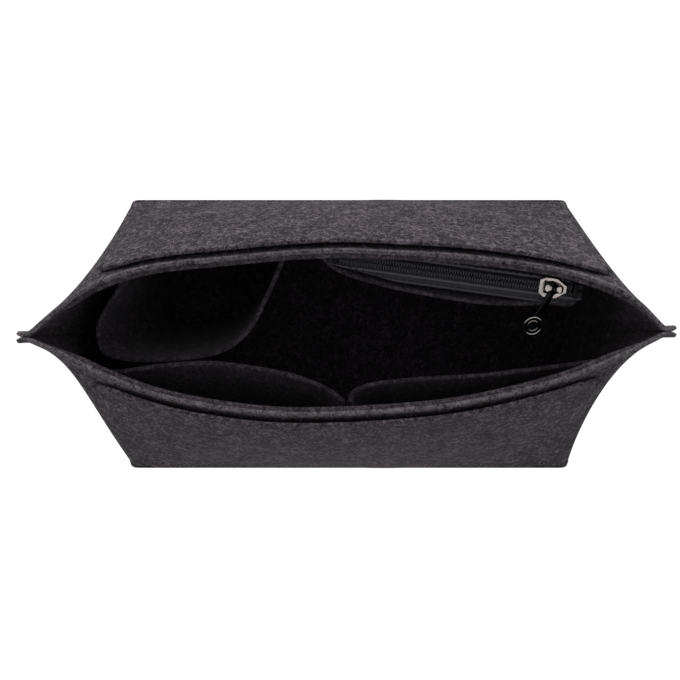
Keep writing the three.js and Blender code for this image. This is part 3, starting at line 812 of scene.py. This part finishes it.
bottle = {
    "drop": 38.0, "leftSeam": -101.0, "rightSeam": -28.0, "swell": 17.0, "footReach": 60.0, "clearance": -2.0,
    # shares of the loop: across from the left seam, along from the lining to its reach, and of the swell
    "loop": [(0, 0.25, 0.4), (0, 0.68, 1), (0, 0.92, 0.85), (0, 1, 0.3), (0.34, 1, 0), (0.58, 0.92, 0),
             (0.73, 0.74, 0)],
    "lastBend": (0.86, 0.46),
}


def bottleLine(z, reach, swell):
    leftX, rightX = bottle["leftSeam"], bottle["rightSeam"]
    leftY, rightY = (liningAt(backRim, x, z, sewnOn) for x in (leftX, rightX))
    width = rightX - leftX
    across, off, out = np.array(bottle["loop"]).T
    bends = np.stack([leftX + across * width - out * swell, leftY + off * (reach - leftY)], axis=-1)
    across, off = bottle["lastBend"]
    ends = [[leftX + across * width, rightY + off * (reach - rightY)], [rightX, rightY]]
    return atLevel(np.concatenate([[[leftX, leftY]], bends, ends]), z)


bottleTop = body["height"] - bottle["drop"]
bottleReach = -leftEdge[:, 1].min() + body["ply"] + bottle["clearance"]
bottleFootReach = liningAt(backRim, bottle["leftSeam"], liningFoot, sewnOn) - bottle["footReach"]
bottleFoot = bottleLine(liningFoot, bottleFootReach, 0)
bottleMid = ruled(backRim, bottleFoot, bottleLine(bottleTop, bottleReach, bottle["swell"]))
sheetPiece("bottle_felt_pocket", bottleMid, body["ply"], "bottle_pocket")
print("bottle pocket made")


# Zip: its line runs between the two stops, and its tape leans a little from the back down to the front
zipper = {
    "tiltDegrees": 8.0, "stopLength": 2.0, "stopHeight": 2.4, "stopHalf": 3.3, "tape": 0.6, "tapeMargin": 3.0,
    "upperTape": 5.0, "lowerTape": 7.6, "coilInner": 0.8, "coilWidth": 2.0, "coilHeight": 1.9,
    "pocketFoot": 30.0, "leftSeam": -14.0, "rightSeam": 108.0, "pocketDrop": 1.0,
    # shares along the zip, and how far the felt's edge stands forward of the chain there
    "feltEdge": [(0, 4.6), (0.19, 9.2), (0.43, 11.2), (0.62, 11.4), (0.76, 10.0), (0.9, 7.4), (1, 5.6)],
}
joints = {joint["name"]: joint for joint in frame["joints"]}
zipAlong = -unit(np.array(joints["zip_slide"]["axis"], float))
zipTilt = np.radians(zipper["tiltDegrees"])
zipForward = np.array([zipAlong[1], -zipAlong[0], 0])
upTape = -zipForward * np.cos(zipTilt) + np.array([0, 0, np.sin(zipTilt)])
outOfTape = np.cross(zipAlong, upTape)
stopMiddles = [np.mean(nodeBox(f"zip_{end}_stop"), axis=0) for end in ("left", "right")]
stopLift = body["gap"] / 2 + zipper["stopHeight"] / 2
zipStart = stopMiddles[0] - zipAlong * zipper["stopLength"] / 2 - outOfTape * stopLift
zipLength = float((stopMiddles[1] - stopMiddles[0]) @ zipAlong) + zipper["stopLength"]
tapeTop = -body["gap"] / 2
tapeBottom = tapeTop - zipper["tape"]
tapeInner = zipper["coilInner"] + body["gap"]


def inZip(local):  # points given along the zip, up the tape and out of it
    return zipStart + local @ np.stack([zipAlong, upTape, outOfTape])


def feltUnderTape():  # the felt's top edge hangs below the tape, lower where it stands further forward
    along, forward = np.array(zipper["feltEdge"]).T
    edge = zipStart + zipAlong * (along * zipLength)[:, None] + zipForward * forward[:, None]
    edge[:, 2] += tapeBottom - zipper["pocketDrop"] - forward * np.tan(zipTilt)
    return edge


zipEdge = feltUnderTape()
seamEnds = [(zipper["leftSeam"], zipEdge[0, 2]), (zipper["rightSeam"], zipEdge[-1, 2])]
seamPoints = np.array([(x, liningAt(backRim, x, z, sewnOn), z) for x, z in seamEnds])
footX = np.linspace(zipper["leftSeam"], zipper["rightSeam"], 9)
zipFoot = [(x, liningAt(backRim, x, zipper["pocketFoot"], sewnOn), zipper["pocketFoot"]) for x in footX]
zipTop = np.concatenate([seamPoints[:1], zipEdge, seamPoints[1:]])
zipMid = ruled(backRim, zipFoot, zipTop, swayed=False)
sheetPiece("zip_felt_pocket", zipMid, body["ply"], "zip_pocket")

# Tapes: thin strips in the zip's own plane, raised into lengthwise ribs at these distances from the chain
tapeRibs = {"places": (3.9, 5.4, 6.9), "heights": (0.5, 0.12, 0.3), "halfWidth": 0.5}
tapeCut = {"ends": (0.42, 0.5), "reach": (34.0, 14.0)}  # ends cut on a slant, from a share of the width


def ribHeight(y):  # a sum of narrow bell curves
    bells = [tall * np.exp(-((np.abs(y) - place) / tapeRibs["halfWidth"]) ** 2)
             for place, tall in zip(tapeRibs["places"], tapeRibs["heights"])]
    return np.sum(bells, axis=0)


def tapeShare(x):  # how much of its width the tape keeps at x
    left = np.clip((x - tapeX[0]) / tapeCut["reach"][0], 0, 1)
    right = np.clip((tapeX[-1] - x) / tapeCut["reach"][1], 0, 1)
    return mixed(tapeCut["ends"][0], 1, left) * mixed(tapeCut["ends"][1], 1, right)


tapeX = np.linspace(-zipper["tapeMargin"], zipLength + zipper["tapeMargin"], 240)
tapeSides = {"upper": (tapeInner, zipper["upperTape"]), "lower": (-zipper["lowerTape"], -tapeInner)}
for side, (low, high) in tapeSides.items():
    y = edgeLevels(low, high, 44, near=(0.0, 0.1, 0.25, 0.5))[:, None]
    y, x = np.broadcast_arrays(y, tapeX[None])
    y = y * tapeShare(x)
    rib = ribHeight(y)
    local = np.stack([x, y, (tapeTop + tapeBottom) / 2 + rib], axis=-1)
    points, quads, _, _ = closedSheet(inZip(local), zipper["tape"])
    uv = np.stack([local[..., :2], local[..., :2]])
    # painted highlight on the ribs: paler the higher the rib
    pale = np.stack([rib, rib]) / max(tapeRibs["heights"])
    makeMesh(f"{side}_zip_tape", points, quads, "zip_tape", f"zip_{side}_tape",
             uv=uv, marks={"cutEdge": pale})
print("zip pocket and tapes made")


# Coil: one filament per side wound round a flattened tube, the two sides half a turn apart
coil = {
    "pitch": 1.25, "filament": 0.31, "steps": 16, "sides": 6, "headReach": -0.4, "slant": 0.25, "tip": 0.01,
}


def sweep(path, radius, sides, up):  # a round profile carried along a path, closed at both ends by a pole
    along = unit(np.gradient(path, axis=0))
    across = unit(np.cross(along, up))
    lift = np.cross(across, along)
    turn = turnOf(sides)
    ring = np.cos(turn)[None, :, None] * across[:, None] + np.sin(turn)[None, :, None] * lift[:, None]
    radius = np.broadcast_to(np.asarray(radius, float), len(path))
    return path[:, None] + radius[:, None, None] * ring


coilStart = zipper["stopLength"] + body["gap"]
turns = (zipLength - 2 * coilStart) / coil["pitch"]
angle = np.linspace(0, 2 * np.pi * turns, int(turns * coil["steps"]))
outerReach = zipper["coilInner"] + zipper["coilWidth"] - coil["filament"]
middle = (outerReach + coil["headReach"] + coil["filament"]) / 2
halfWidth = outerReach - middle
coilMiddle = body["gap"] / 2 + zipper["coilHeight"] / 2
halfHeight = zipper["coilHeight"] / 2 - coil["filament"]
for side, sign in (("upper", 1), ("lower", -1)):
    phase = angle + (0 if sign > 0 else np.pi)
    slant = coil["slant"] * coil["pitch"] * np.cos(phase)
    local = np.stack([coilStart + coil["pitch"] * angle / (2 * np.pi) + slant,
                      sign * (middle + halfWidth * np.cos(phase)),
                      coilMiddle + halfHeight * np.sin(phase)], axis=-1)
    fade = np.ones(len(angle))
    fade[[0, -1]] = coil["tip"]
    rings = sweep(inZip(local), coil["filament"] * fade, coil["sides"], zipAlong)
    quads = outwards(rings, gridQuads(*rings.shape[:2], False, True))
    makeMesh(f"{side}_nylon_coil", rings, quads, "coil", f"zip_{side}_coil")
print("coils made with", int(turns), "turns a side")


# Metal: sections carried along a line, each a rounded box, closed at both ends by drawing in to a point


def roundedTurn(count, power):  # both coordinates round one turn, raised to a power that makes it boxy
    turn = turnOf(count)
    return [np.sign(wave) * np.abs(wave) ** power for wave in (np.cos(turn), np.sin(turn))]


def loft(stations, halfWidth, low, high, squareness=4.0, around=28, endRound=0.8):
    # at each station along x a superellipse of that half width between the two heights
    x = np.asarray(stations, float)
    ends = np.minimum(x - x[0], x[-1] - x) / endRound
    draw = np.sqrt(1 - (1 - np.clip(ends, 0.0, 1)) ** 2)
    side, rise = roundedTurn(around, 2 / squareness)
    middle, tall = (low + high) / 2, (high - low) / 2
    y = (halfWidth * draw)[:, None] * side[None]
    z = middle[:, None] + (tall * draw)[:, None] * rise[None]
    return np.stack([np.broadcast_to(x[:, None], y.shape), y, z], axis=-1)


def endSpaced(start, stop, count, near=0.8):  # stations that crowd where the ends draw in
    step = near * (1 - np.cos(np.linspace(0, np.pi / 2, 7)))
    inner = np.linspace(start + near, stop - near, count)[1:-1]
    return np.concatenate([start + step, inner, stop - step[::-1]])


def joined(parts, closed=None):  # ring grids as one array of points and one of quads, some closed both ways
    points, quads, first = [], [], 0
    for rings, around in zip(parts, closed or [False] * len(parts)):
        face = gridQuads(*rings.shape[:2], around, True)
        quads.append(outwards(rings, face) + first)
        points.append(rings.reshape(-1, 3))
        first += points[-1].shape[0]
    return np.concatenate(points), np.concatenate(quads)


# Stops: crimped clips, a rounded bar across the chain, pinched in the middle and falling away at its ends
stop = {"pinch": 0.18, "pinchReach": 0.8, "fall": 0.35}
for end, place in (("left", zipper["stopLength"] / 2), ("right", zipLength - zipper["stopLength"] / 2)):
    across = endSpaced(-zipper["stopHalf"], zipper["stopHalf"], 12)
    waist = zipper["stopLength"] / 2 - stop["pinch"] * np.exp(-(across / stop["pinchReach"]) ** 2)
    fallen = stop["fall"] * np.abs(across / zipper["stopHalf"]) ** 3
    crest = body["gap"] / 2 + zipper["stopHeight"] - fallen
    bar = loft(across, waist, np.full_like(across, body["gap"] / 2), crest)[..., [1, 0, 2]]
    bar = bar + np.array([place, 0, 0])
    points, quads = joined([inZip(bar)])
    # the metal stops take the clip finish: near black as painted shade
    makeMesh(f"zip_{end}_clip", points, quads, "slider_metal", f"zip_{end}_stop", finish="clip")

# Slider: two shield plates, the top one dished about its bridge, and flanges down over the coils
slider = {
    "length": 12.6, "halfWidth": 4.8, "tail": 3.15, "nose": 1.6, "plate": 0.9, "ledge": 1.7, "dish": 0.7,
    "tailFrom": -0.62, "noseFrom": 0.25, "dishEase": 1.4, "topFoot": 2.55, "bottomTop": -1.25,
    "flange": 1.2, "flangeHalf": 3.15, "flangeFoot": 0.35, "flangeSink": 0.4,
    "bridgeHalf": 4.3, "bridgeHeight": 4.0, "bridgeLobe": 2.0, "bridgeWaist": 1.15, "bridgeThick": 1.3,
    "lobeAt": 2.9, "lobeHalf": 1.0, "bridgeSink": 0.2, "bridgeSteep": 1.6, "bridgeFlat": 5, "bridgeTip": 0.02,
}
hinge = np.array(joints["pull_swing"]["pos_m"]) * metre - zipStart
sliderAt = np.array([float(hinge @ zipAlong), 0, 0])
barHeight = float(hinge @ outOfTape)


def shieldHalf(x):  # half width of the plate: full in the middle, tapering to the tail and more to the nose
    half = slider["length"] / 2
    taper = [slider["tail"], slider["halfWidth"], slider["halfWidth"], slider["nose"]]
    wide = np.interp(x, [-half, slider["tailFrom"] * half, slider["noseFrom"] * half, half], taper)
    kernel = np.hanning(9)
    padded = np.pad(wide, 4, mode="edge")
    return np.convolve(padded, kernel / kernel.sum(), mode="valid")


def shieldPlate(middle, dish):
    # a sheet of shield outline, lowered inside its ledge by an eased share of the dish
    half = slider["length"] / 2
    x = half * (2 * edgeSpaced(slider["length"], 50, (0.0, 0.08, 0.2, 0.4)) - 1)
    share = 2 * edgeSpaced(2 * slider["halfWidth"], 40, (0.0, 0.08, 0.2, 0.4)) - 1
    wide = shieldHalf(x)
    y = wide[None] * share[:, None]
    inside = np.minimum(wide[None] - np.abs(y), half - np.abs(x)[None])
    z = middle - dish * eased(np.clip((inside - slider["ledge"]) / slider["dishEase"], 0, 1))
    return closedSheet(np.stack([np.broadcast_to(x[None], y.shape), y, z], axis=-1), slider["plate"])


def sliderMesh():
    sheets = [shieldPlate(slider["topFoot"] + slider["plate"] / 2, slider["dish"]),
              shieldPlate(slider["bottomTop"] - slider["plate"] / 2, 0.0)]
    reach = endSpaced(-slider["flangeHalf"], slider["flangeHalf"], 10)
    level = np.ones_like(reach)
    flange = loft(reach, level * slider["flange"] / 2, level * slider["flangeFoot"],
                  level * (slider["topFoot"] + slider["flangeSink"]))
    aside = np.array([0, slider["halfWidth"] - slider["flange"] / 2, 0])
    points, quads = joined([flange + aside, flange - aside, bridge()])
    for sheet in sheets:
        quads = np.concatenate([quads, sheet[1] + len(points)])
        points = np.concatenate([points, sheet[0].reshape(-1, 3)])
    return inZip(points + sliderAt), quads


def bridge():
    # a strap over an arch: it climbs steeply at both ends, its width swelling to two lobes beside a waist
    share = np.linspace(-1, 1, 61)
    x = slider["bridgeHalf"] * np.sign(share) * (1 - (1 - np.abs(share)) ** slider["bridgeSteep"])
    foot = slider["topFoot"] + slider["plate"] - slider["dish"] - slider["bridgeSink"]
    crest = slider["topFoot"] + slider["plate"] + slider["bridgeHeight"] - slider["bridgeThick"] / 2
    z = mixed(foot, crest, 1 - np.abs(share) ** slider["bridgeFlat"])
    lobe = np.exp(-((np.abs(x) - slider["lobeAt"]) / slider["lobeHalf"]) ** 2)
    wide = mixed(slider["bridgeWaist"], slider["bridgeLobe"], lobe)
    path = np.stack([x, np.zeros_like(x), z], axis=-1)
    along = unit(np.gradient(path, axis=0))
    across = np.array([0, 1.0, 0])
    lift = np.cross(along, across)
    side, rise = roundedTurn(20, 0.7)
    draw = np.ones(len(x))
    draw[[0, -1]] = slider["bridgeTip"]
    ring = (wide * draw)[:, None, None] * side[None, :, None] * across
    ring = ring + (slider["bridgeThick"] / 2 * draw)[:, None, None] * rise[None, :, None] * lift[:, None]
    return path[:, None] + ring


makeMesh("zip_slider_body", *sliderMesh(), "slider_metal", "zip_slider", "slider")

# Pull: a ring round the bridge, a waisted tab and a round end with a raised lip about its hole
pull = {
    "length": 24.0, "eye": 4.5, "oval": 1.18, "hole": 2.0, "lip": 0.95, "lipRise": 0.35, "thick": 1.2,
    "collar": (0.35, 0.4, 0.25),  # out from the hole's edge, half width and rise
    "neck": 1.5, "tabSwell": 0.75, "tabWaist": 0.15, "tabOverlap": (0.9, 0.6),
    "ring": 2.15, "ringWire": 0.5, "ringHalf": 1.0, "hangDegrees": 25.0, "leanDegrees": 15.0, "leanOver": 3.0,
    "paintedHighlight": (0, 1, 0.6, 0, 0),  # how much painted highlight the plate, lip, collar, ring and tab carry
}


def inPull(local):  # pull's own frame, the tab along minus y, leaned in its plane and hung from the bar
    lean, hang = -np.radians(pull["leanDegrees"]), np.radians(pull["hangDegrees"])
    x, y, z = np.moveaxis(local, -1, 0)
    angle = lean * np.clip(-y / pull["leanOver"], 0, 1)
    x, y = x * np.cos(angle) - y * np.sin(angle), x * np.sin(angle) + y * np.cos(angle)
    y, z = y * np.cos(hang) - z * np.sin(hang), y * np.sin(hang) + z * np.cos(hang)
    return inZip(np.stack([x, y, z], axis=-1) + sliderAt + np.array([0, 0, barHeight]))


def torus(middle, radius, wide, tall, around=48, section=16):
    # a rounded section carried round an oval in the tab's plane
    turn = turnOf(around)[:, None]
    side, rise = roundedTurn(section, 0.75)
    reach = radius + wide * side[None]
    points = [reach * np.cos(turn), middle + pull["oval"] * reach * np.sin(turn), tall * rise[None]]
    return np.stack(np.broadcast_arrays(*points), axis=-1)


def pullMesh():
    eyeY = -pull["ring"] - pull["length"] + pull["eye"]
    half = pull["thick"] / 2
    width = (pull["eye"] - pull["hole"]) / 2
    plate = torus(eyeY, pull["hole"] + width, width, half)
    lip = torus(eyeY, pull["eye"] - pull["lip"] / 2, pull["lip"] / 2, half + pull["lipRise"])
    collarOut, collarHalf, collarRise = pull["collar"]
    collar = torus(eyeY, pull["hole"] + collarOut, collarHalf, half + collarRise)
    turn = turnOf(36)[:, None]
    section = turnOf(16)[None, :]
    reach = pull["ring"] + pull["ringWire"] * np.sin(section)
    ring = [pull["ringHalf"] * np.cos(section), reach * np.cos(turn), reach * np.sin(turn)]
    ring = np.stack(np.broadcast_arrays(*ring), axis=-1)
    intoEye, intoRing = pull["tabOverlap"]
    span = endSpaced(eyeY + pull["eye"] * pull["oval"] - intoEye, -pull["ring"] + intoRing, 24)
    share = (span - span[0]) / (span[-1] - span[0])
    wide = pull["neck"] + pull["tabSwell"] * (1 - share) ** 2 - pull["tabWaist"] * np.sin(np.pi * share)
    tab = loft(span, wide, np.full_like(span, -half), np.full_like(span, half), 3.0)[..., [1, 0, 2]]
    parts = [plate, lip, collar, ring, tab]
    points, quads = joined(parts, [True, True, True, True, False])
    paintedHighlight = [np.full(part[..., 0].size, bright) for part, bright in zip(parts, pull["paintedHighlight"])]
    return inPull(points), quads, np.concatenate(paintedHighlight)


pullPoints, pullQuads, pullHighlight = pullMesh()
makeMesh("zip_pull_tab", pullPoints, pullQuads, "slider_metal", "zip_pull", "pull",
         marks={"cutEdge": pullHighlight}, finish="pull")
print("slider, pull and stops made")


# Stitches: each a thread that rises out of the cloth and dips back, a spindle of a few faces
stitch = {
    "pitch": 3.2, "length": 2.5, "radius": 0.32, "rise": 0.15, "sink": 0.2, "steps": 7, "sides": 6,
    "aim": 0.4, "blunt": 0.0004,
}


def spindles(name, middle, along, lift, size, node=None):
    # one at each middle, size giving length, radius, rise and sink: its width and its height over the cloth
    # follow the root of 1 - a squared and 1 - a squared, a running from -1 to 1 on its length
    length, radius, rise, sink = size
    a = np.linspace(-1, 1, stitch["steps"])[None, :, None, None]
    turn = turnOf(stitch["sides"])[None, None, :, None]
    across = np.cross(lift, along)
    thick = radius * np.sqrt(np.clip(1 - a ** 2, stitch["blunt"], 1))
    points = (middle[:, None, None] + along[:, None, None] * a * length / 2
              + across[:, None, None] * thick * np.cos(turn)
              + lift[:, None, None] * (rise * (1 - a ** 2) - sink + thick * np.sin(turn)))
    face = outwards(points[0], gridQuads(stitch["steps"], stitch["sides"], False, True))
    each = stitch["steps"] * stitch["sides"]
    quads = (face[None] + (np.arange(len(middle)) * each)[:, None, None]).reshape(-1, 4)
    uv = np.zeros((len(middle), stitch["steps"], stitch["sides"], 2))
    uv[..., 0] = (a * length / 2)[..., 0]
    uv[..., 1] = (radius * turn)[..., 0]
    makeMesh(name, points, quads, "thread", node, uv=uv)


def stitchRow(name, path, out):  # spindles set at even spacing along a path
    run = arcLength(path, 0)
    at = np.arange(stitch["pitch"] / 2, run[-1], stitch["pitch"])

    def read(values, places):
        return np.stack([np.interp(places, run, values[:, k]) for k in range(3)], axis=-1)
    along = unit(read(path, at + stitch["aim"]) - read(path, at - stitch["aim"]))
    size = [stitch[key] for key in ("length", "radius", "rise", "sink")]
    spindles(name, read(path, at), along, unit(read(out, at)), size)


def seamOn(name, grid, face, row=None, column=None, trim=3):
    # a row of stitches on one face of a sheet, along a grid row or column, less trim cells at each end
    normal = face * faceNormals(grid)
    surface = grid + normal * body["ply"] / 2
    chosen = (row, slice(trim, -trim)) if column is None else (slice(trim, -trim), column)
    stitchRow(name, surface[chosen], normal[chosen])


def columnAt(grid, distance, sign):
    # the column that far in from a sheet's left edge, or from its right one for sign -1, halfway up it
    column = int(np.searchsorted(arcLength(grid[:, ::sign], 1)[grid.shape[0] // 2], distance))
    return column if sign > 0 else -column - 1


seams = {"fin": 2.2, "slipEnd": 2.4, "foot": 4.0, "pocketMiddle": 2.6, "upperTape": 4.3, "lowerTape": 6.3}
for side, face in (("back", -1), ("front", 1)):
    wall, slip = mids[f"{side} wall"], mids[f"{side} slip"]
    foot = int(np.searchsorted(arcLength(slip, 0)[:, slip.shape[1] // 2], seams["foot"]))
    seamOn(f"{side}_foot_seam", slip, face, row=foot, trim=10)
    for end, sign in handed:
        seamOn(f"{side}_{end}_fin_seam", wall, face, column=columnAt(wall, seams["fin"], sign))
        seamOn(f"{side}_{end}_slip_seam", slip, face, column=columnAt(slip, seams["slipEnd"], sign))
for side, sign in handed:
    grid = frontSheets[side]
    seamOn(f"front_{side}_pocket_seam", grid, 1, column=columnAt(grid, seams["pocketMiddle"], sign))
for side, sign in (("upper", 1), ("lower", -1)):
    y = sign * seams[f"{side}Tape"] * tapeShare(tapeX)
    path = inZip(np.stack([tapeX, y, tapeTop + ribHeight(y)], axis=-1))[6:-6]
    stitchRow(f"{side}_tape_seam", path, np.broadcast_to(outOfTape, path.shape))
print("seams sewn")

# Bar tacks: short threads laid side by side across the end of a slip pocket's mouth
tack = {"length": 6.0, "width": 2.2, "pitch": 0.55, "radius": 0.3, "rise": 0.35, "inset": 1.6, "over": 0.6}


def tackPiece(side, end):  # up the side edge of the slip pocket from just below the end of its mouth
    grid = mids[f"{side} slip"]
    grid = grid if end == "left" else grid[:, ::-1]
    column = int(np.searchsorted(arcLength(grid[-1:], 1)[0], tack["inset"]))
    upward = unit(grid[-1, column] - grid[-14, column])
    inward = unit(grid[-5, column + 3] - grid[-5, column])
    outward = unit(np.cross(inward, upward))
    outward *= np.sign(outward[1] * grid[-1, column, 1])
    steps = np.linspace(-1, 0, int(tack["length"] / tack["pitch"]))[:, None]
    middle = grid[-1, column] + upward * (steps * tack["length"] + tack["over"]) + outward * body["ply"] / 2
    lift = np.broadcast_to(outward, middle.shape)
    along = np.broadcast_to(unit(np.cross(upward, outward)), middle.shape)
    size = (tack["width"], tack["radius"], tack["rise"], 0.0)
    spindles(f"{side}_{end}_bar_tack", middle, along, lift, size, f"{side}_{end}_tack")


for side in rims:
    for end, _ in handed:
        tackPiece(side, end)
print("bar tacks made")


# Floor and light
floorColour = {"size": 6.0, "below": 0.0002, "colour": "#f4f4f4", "glowShare": 0.75, "glow": 1.34}


def seenDirectly(tree):  # 1 for rays from the camera, from a mirror or through glass, else 0
    path = addNode(tree, "ShaderNodeLightPath")
    mirrored = addMath(tree, "MAXIMUM", path.outputs["Is Glossy Ray"], path.outputs["Is Transmission Ray"])
    return addMath(tree, "MAXIMUM", path.outputs["Is Camera Ray"], mirrored)


def makeFloor():  # lit paper that keeps the shadow, under a share of plain white
    mesh = bpy.data.meshes.new("floor")
    half = floorColour["size"] / 2
    corners = np.array([(-half, -half, 0), (half, -half, 0), (half, half, 0), (-half, half, 0)])
    mesh.from_pydata(corners - np.array([0, 0, floorColour["below"]]), [], [(0, 1, 2, 3)])
    floor = bpy.data.objects.new("floor", mesh)
    bpy.context.scene.collection.objects.link(floor)
    material, tree, output = newMaterial("matte white paper sweep")
    paper = addNode(tree, "ShaderNodeBsdfDiffuse", {}, {"Color": linear(floorColour["colour"])})
    glow = addNode(tree, "ShaderNodeEmission", {}, {"Strength": floorColour["glow"]})
    share = addMath(tree, "MULTIPLY", seenDirectly(tree), floorColour["glowShare"])
    addShaderMix(tree, output, share, paper, glow)
    mesh.materials.append(material)


light = {
    "horizon": 0.08, "zenith": 0.28, "domeRise": (0.2, 0.9),
    "lamps": {
        "back softbox": ((0.0, 1.25, 0.3), 0.6, 4.3),
        "front softbox": ((-0.7, -1.1, 0.3), 0.6, 0.3),
    },
}


def makeWorld():  # brighter overhead than at the horizon, white where the camera or a mirror sees it
    world = bpy.data.worlds.new("studio")
    bpy.context.scene.world = world
    world.use_nodes = True
    tree = world.node_tree
    tree.nodes.clear()
    output = addNode(tree, "ShaderNodeOutputWorld")
    direction = addNode(tree, "ShaderNodeTexCoord").outputs["Generated"]
    height = addNode(tree, "ShaderNodeSeparateXYZ", {}, {0: direction}).outputs["Z"]
    dome = addRange(tree, height, light["horizon"], light["zenith"], light["domeRise"], "SMOOTHSTEP")
    plain = linear("#ffffff")
    studio = addNode(tree, "ShaderNodeBackground", {}, {"Color": plain, "Strength": dome})
    white = addNode(tree, "ShaderNodeBackground", {}, {"Color": plain, "Strength": 1.0})
    addShaderMix(tree, output, seenDirectly(tree), studio, white)


def makeLamps():
    for name, (place, size, power) in light["lamps"].items():
        lamp = bpy.data.lights.new(name, "AREA")
        lamp.size = size
        lamp.energy = power
        holder = bpy.data.objects.new(name, lamp)
        holder.location = place
        holder.rotation_euler = Vector(place).to_track_quat("Z", "Y").to_euler()
        bpy.context.scene.collection.objects.link(holder)


makeFloor()
makeWorld()
makeLamps()
bpy.context.scene.view_settings.view_transform = "Standard"
print("floor and lights made")
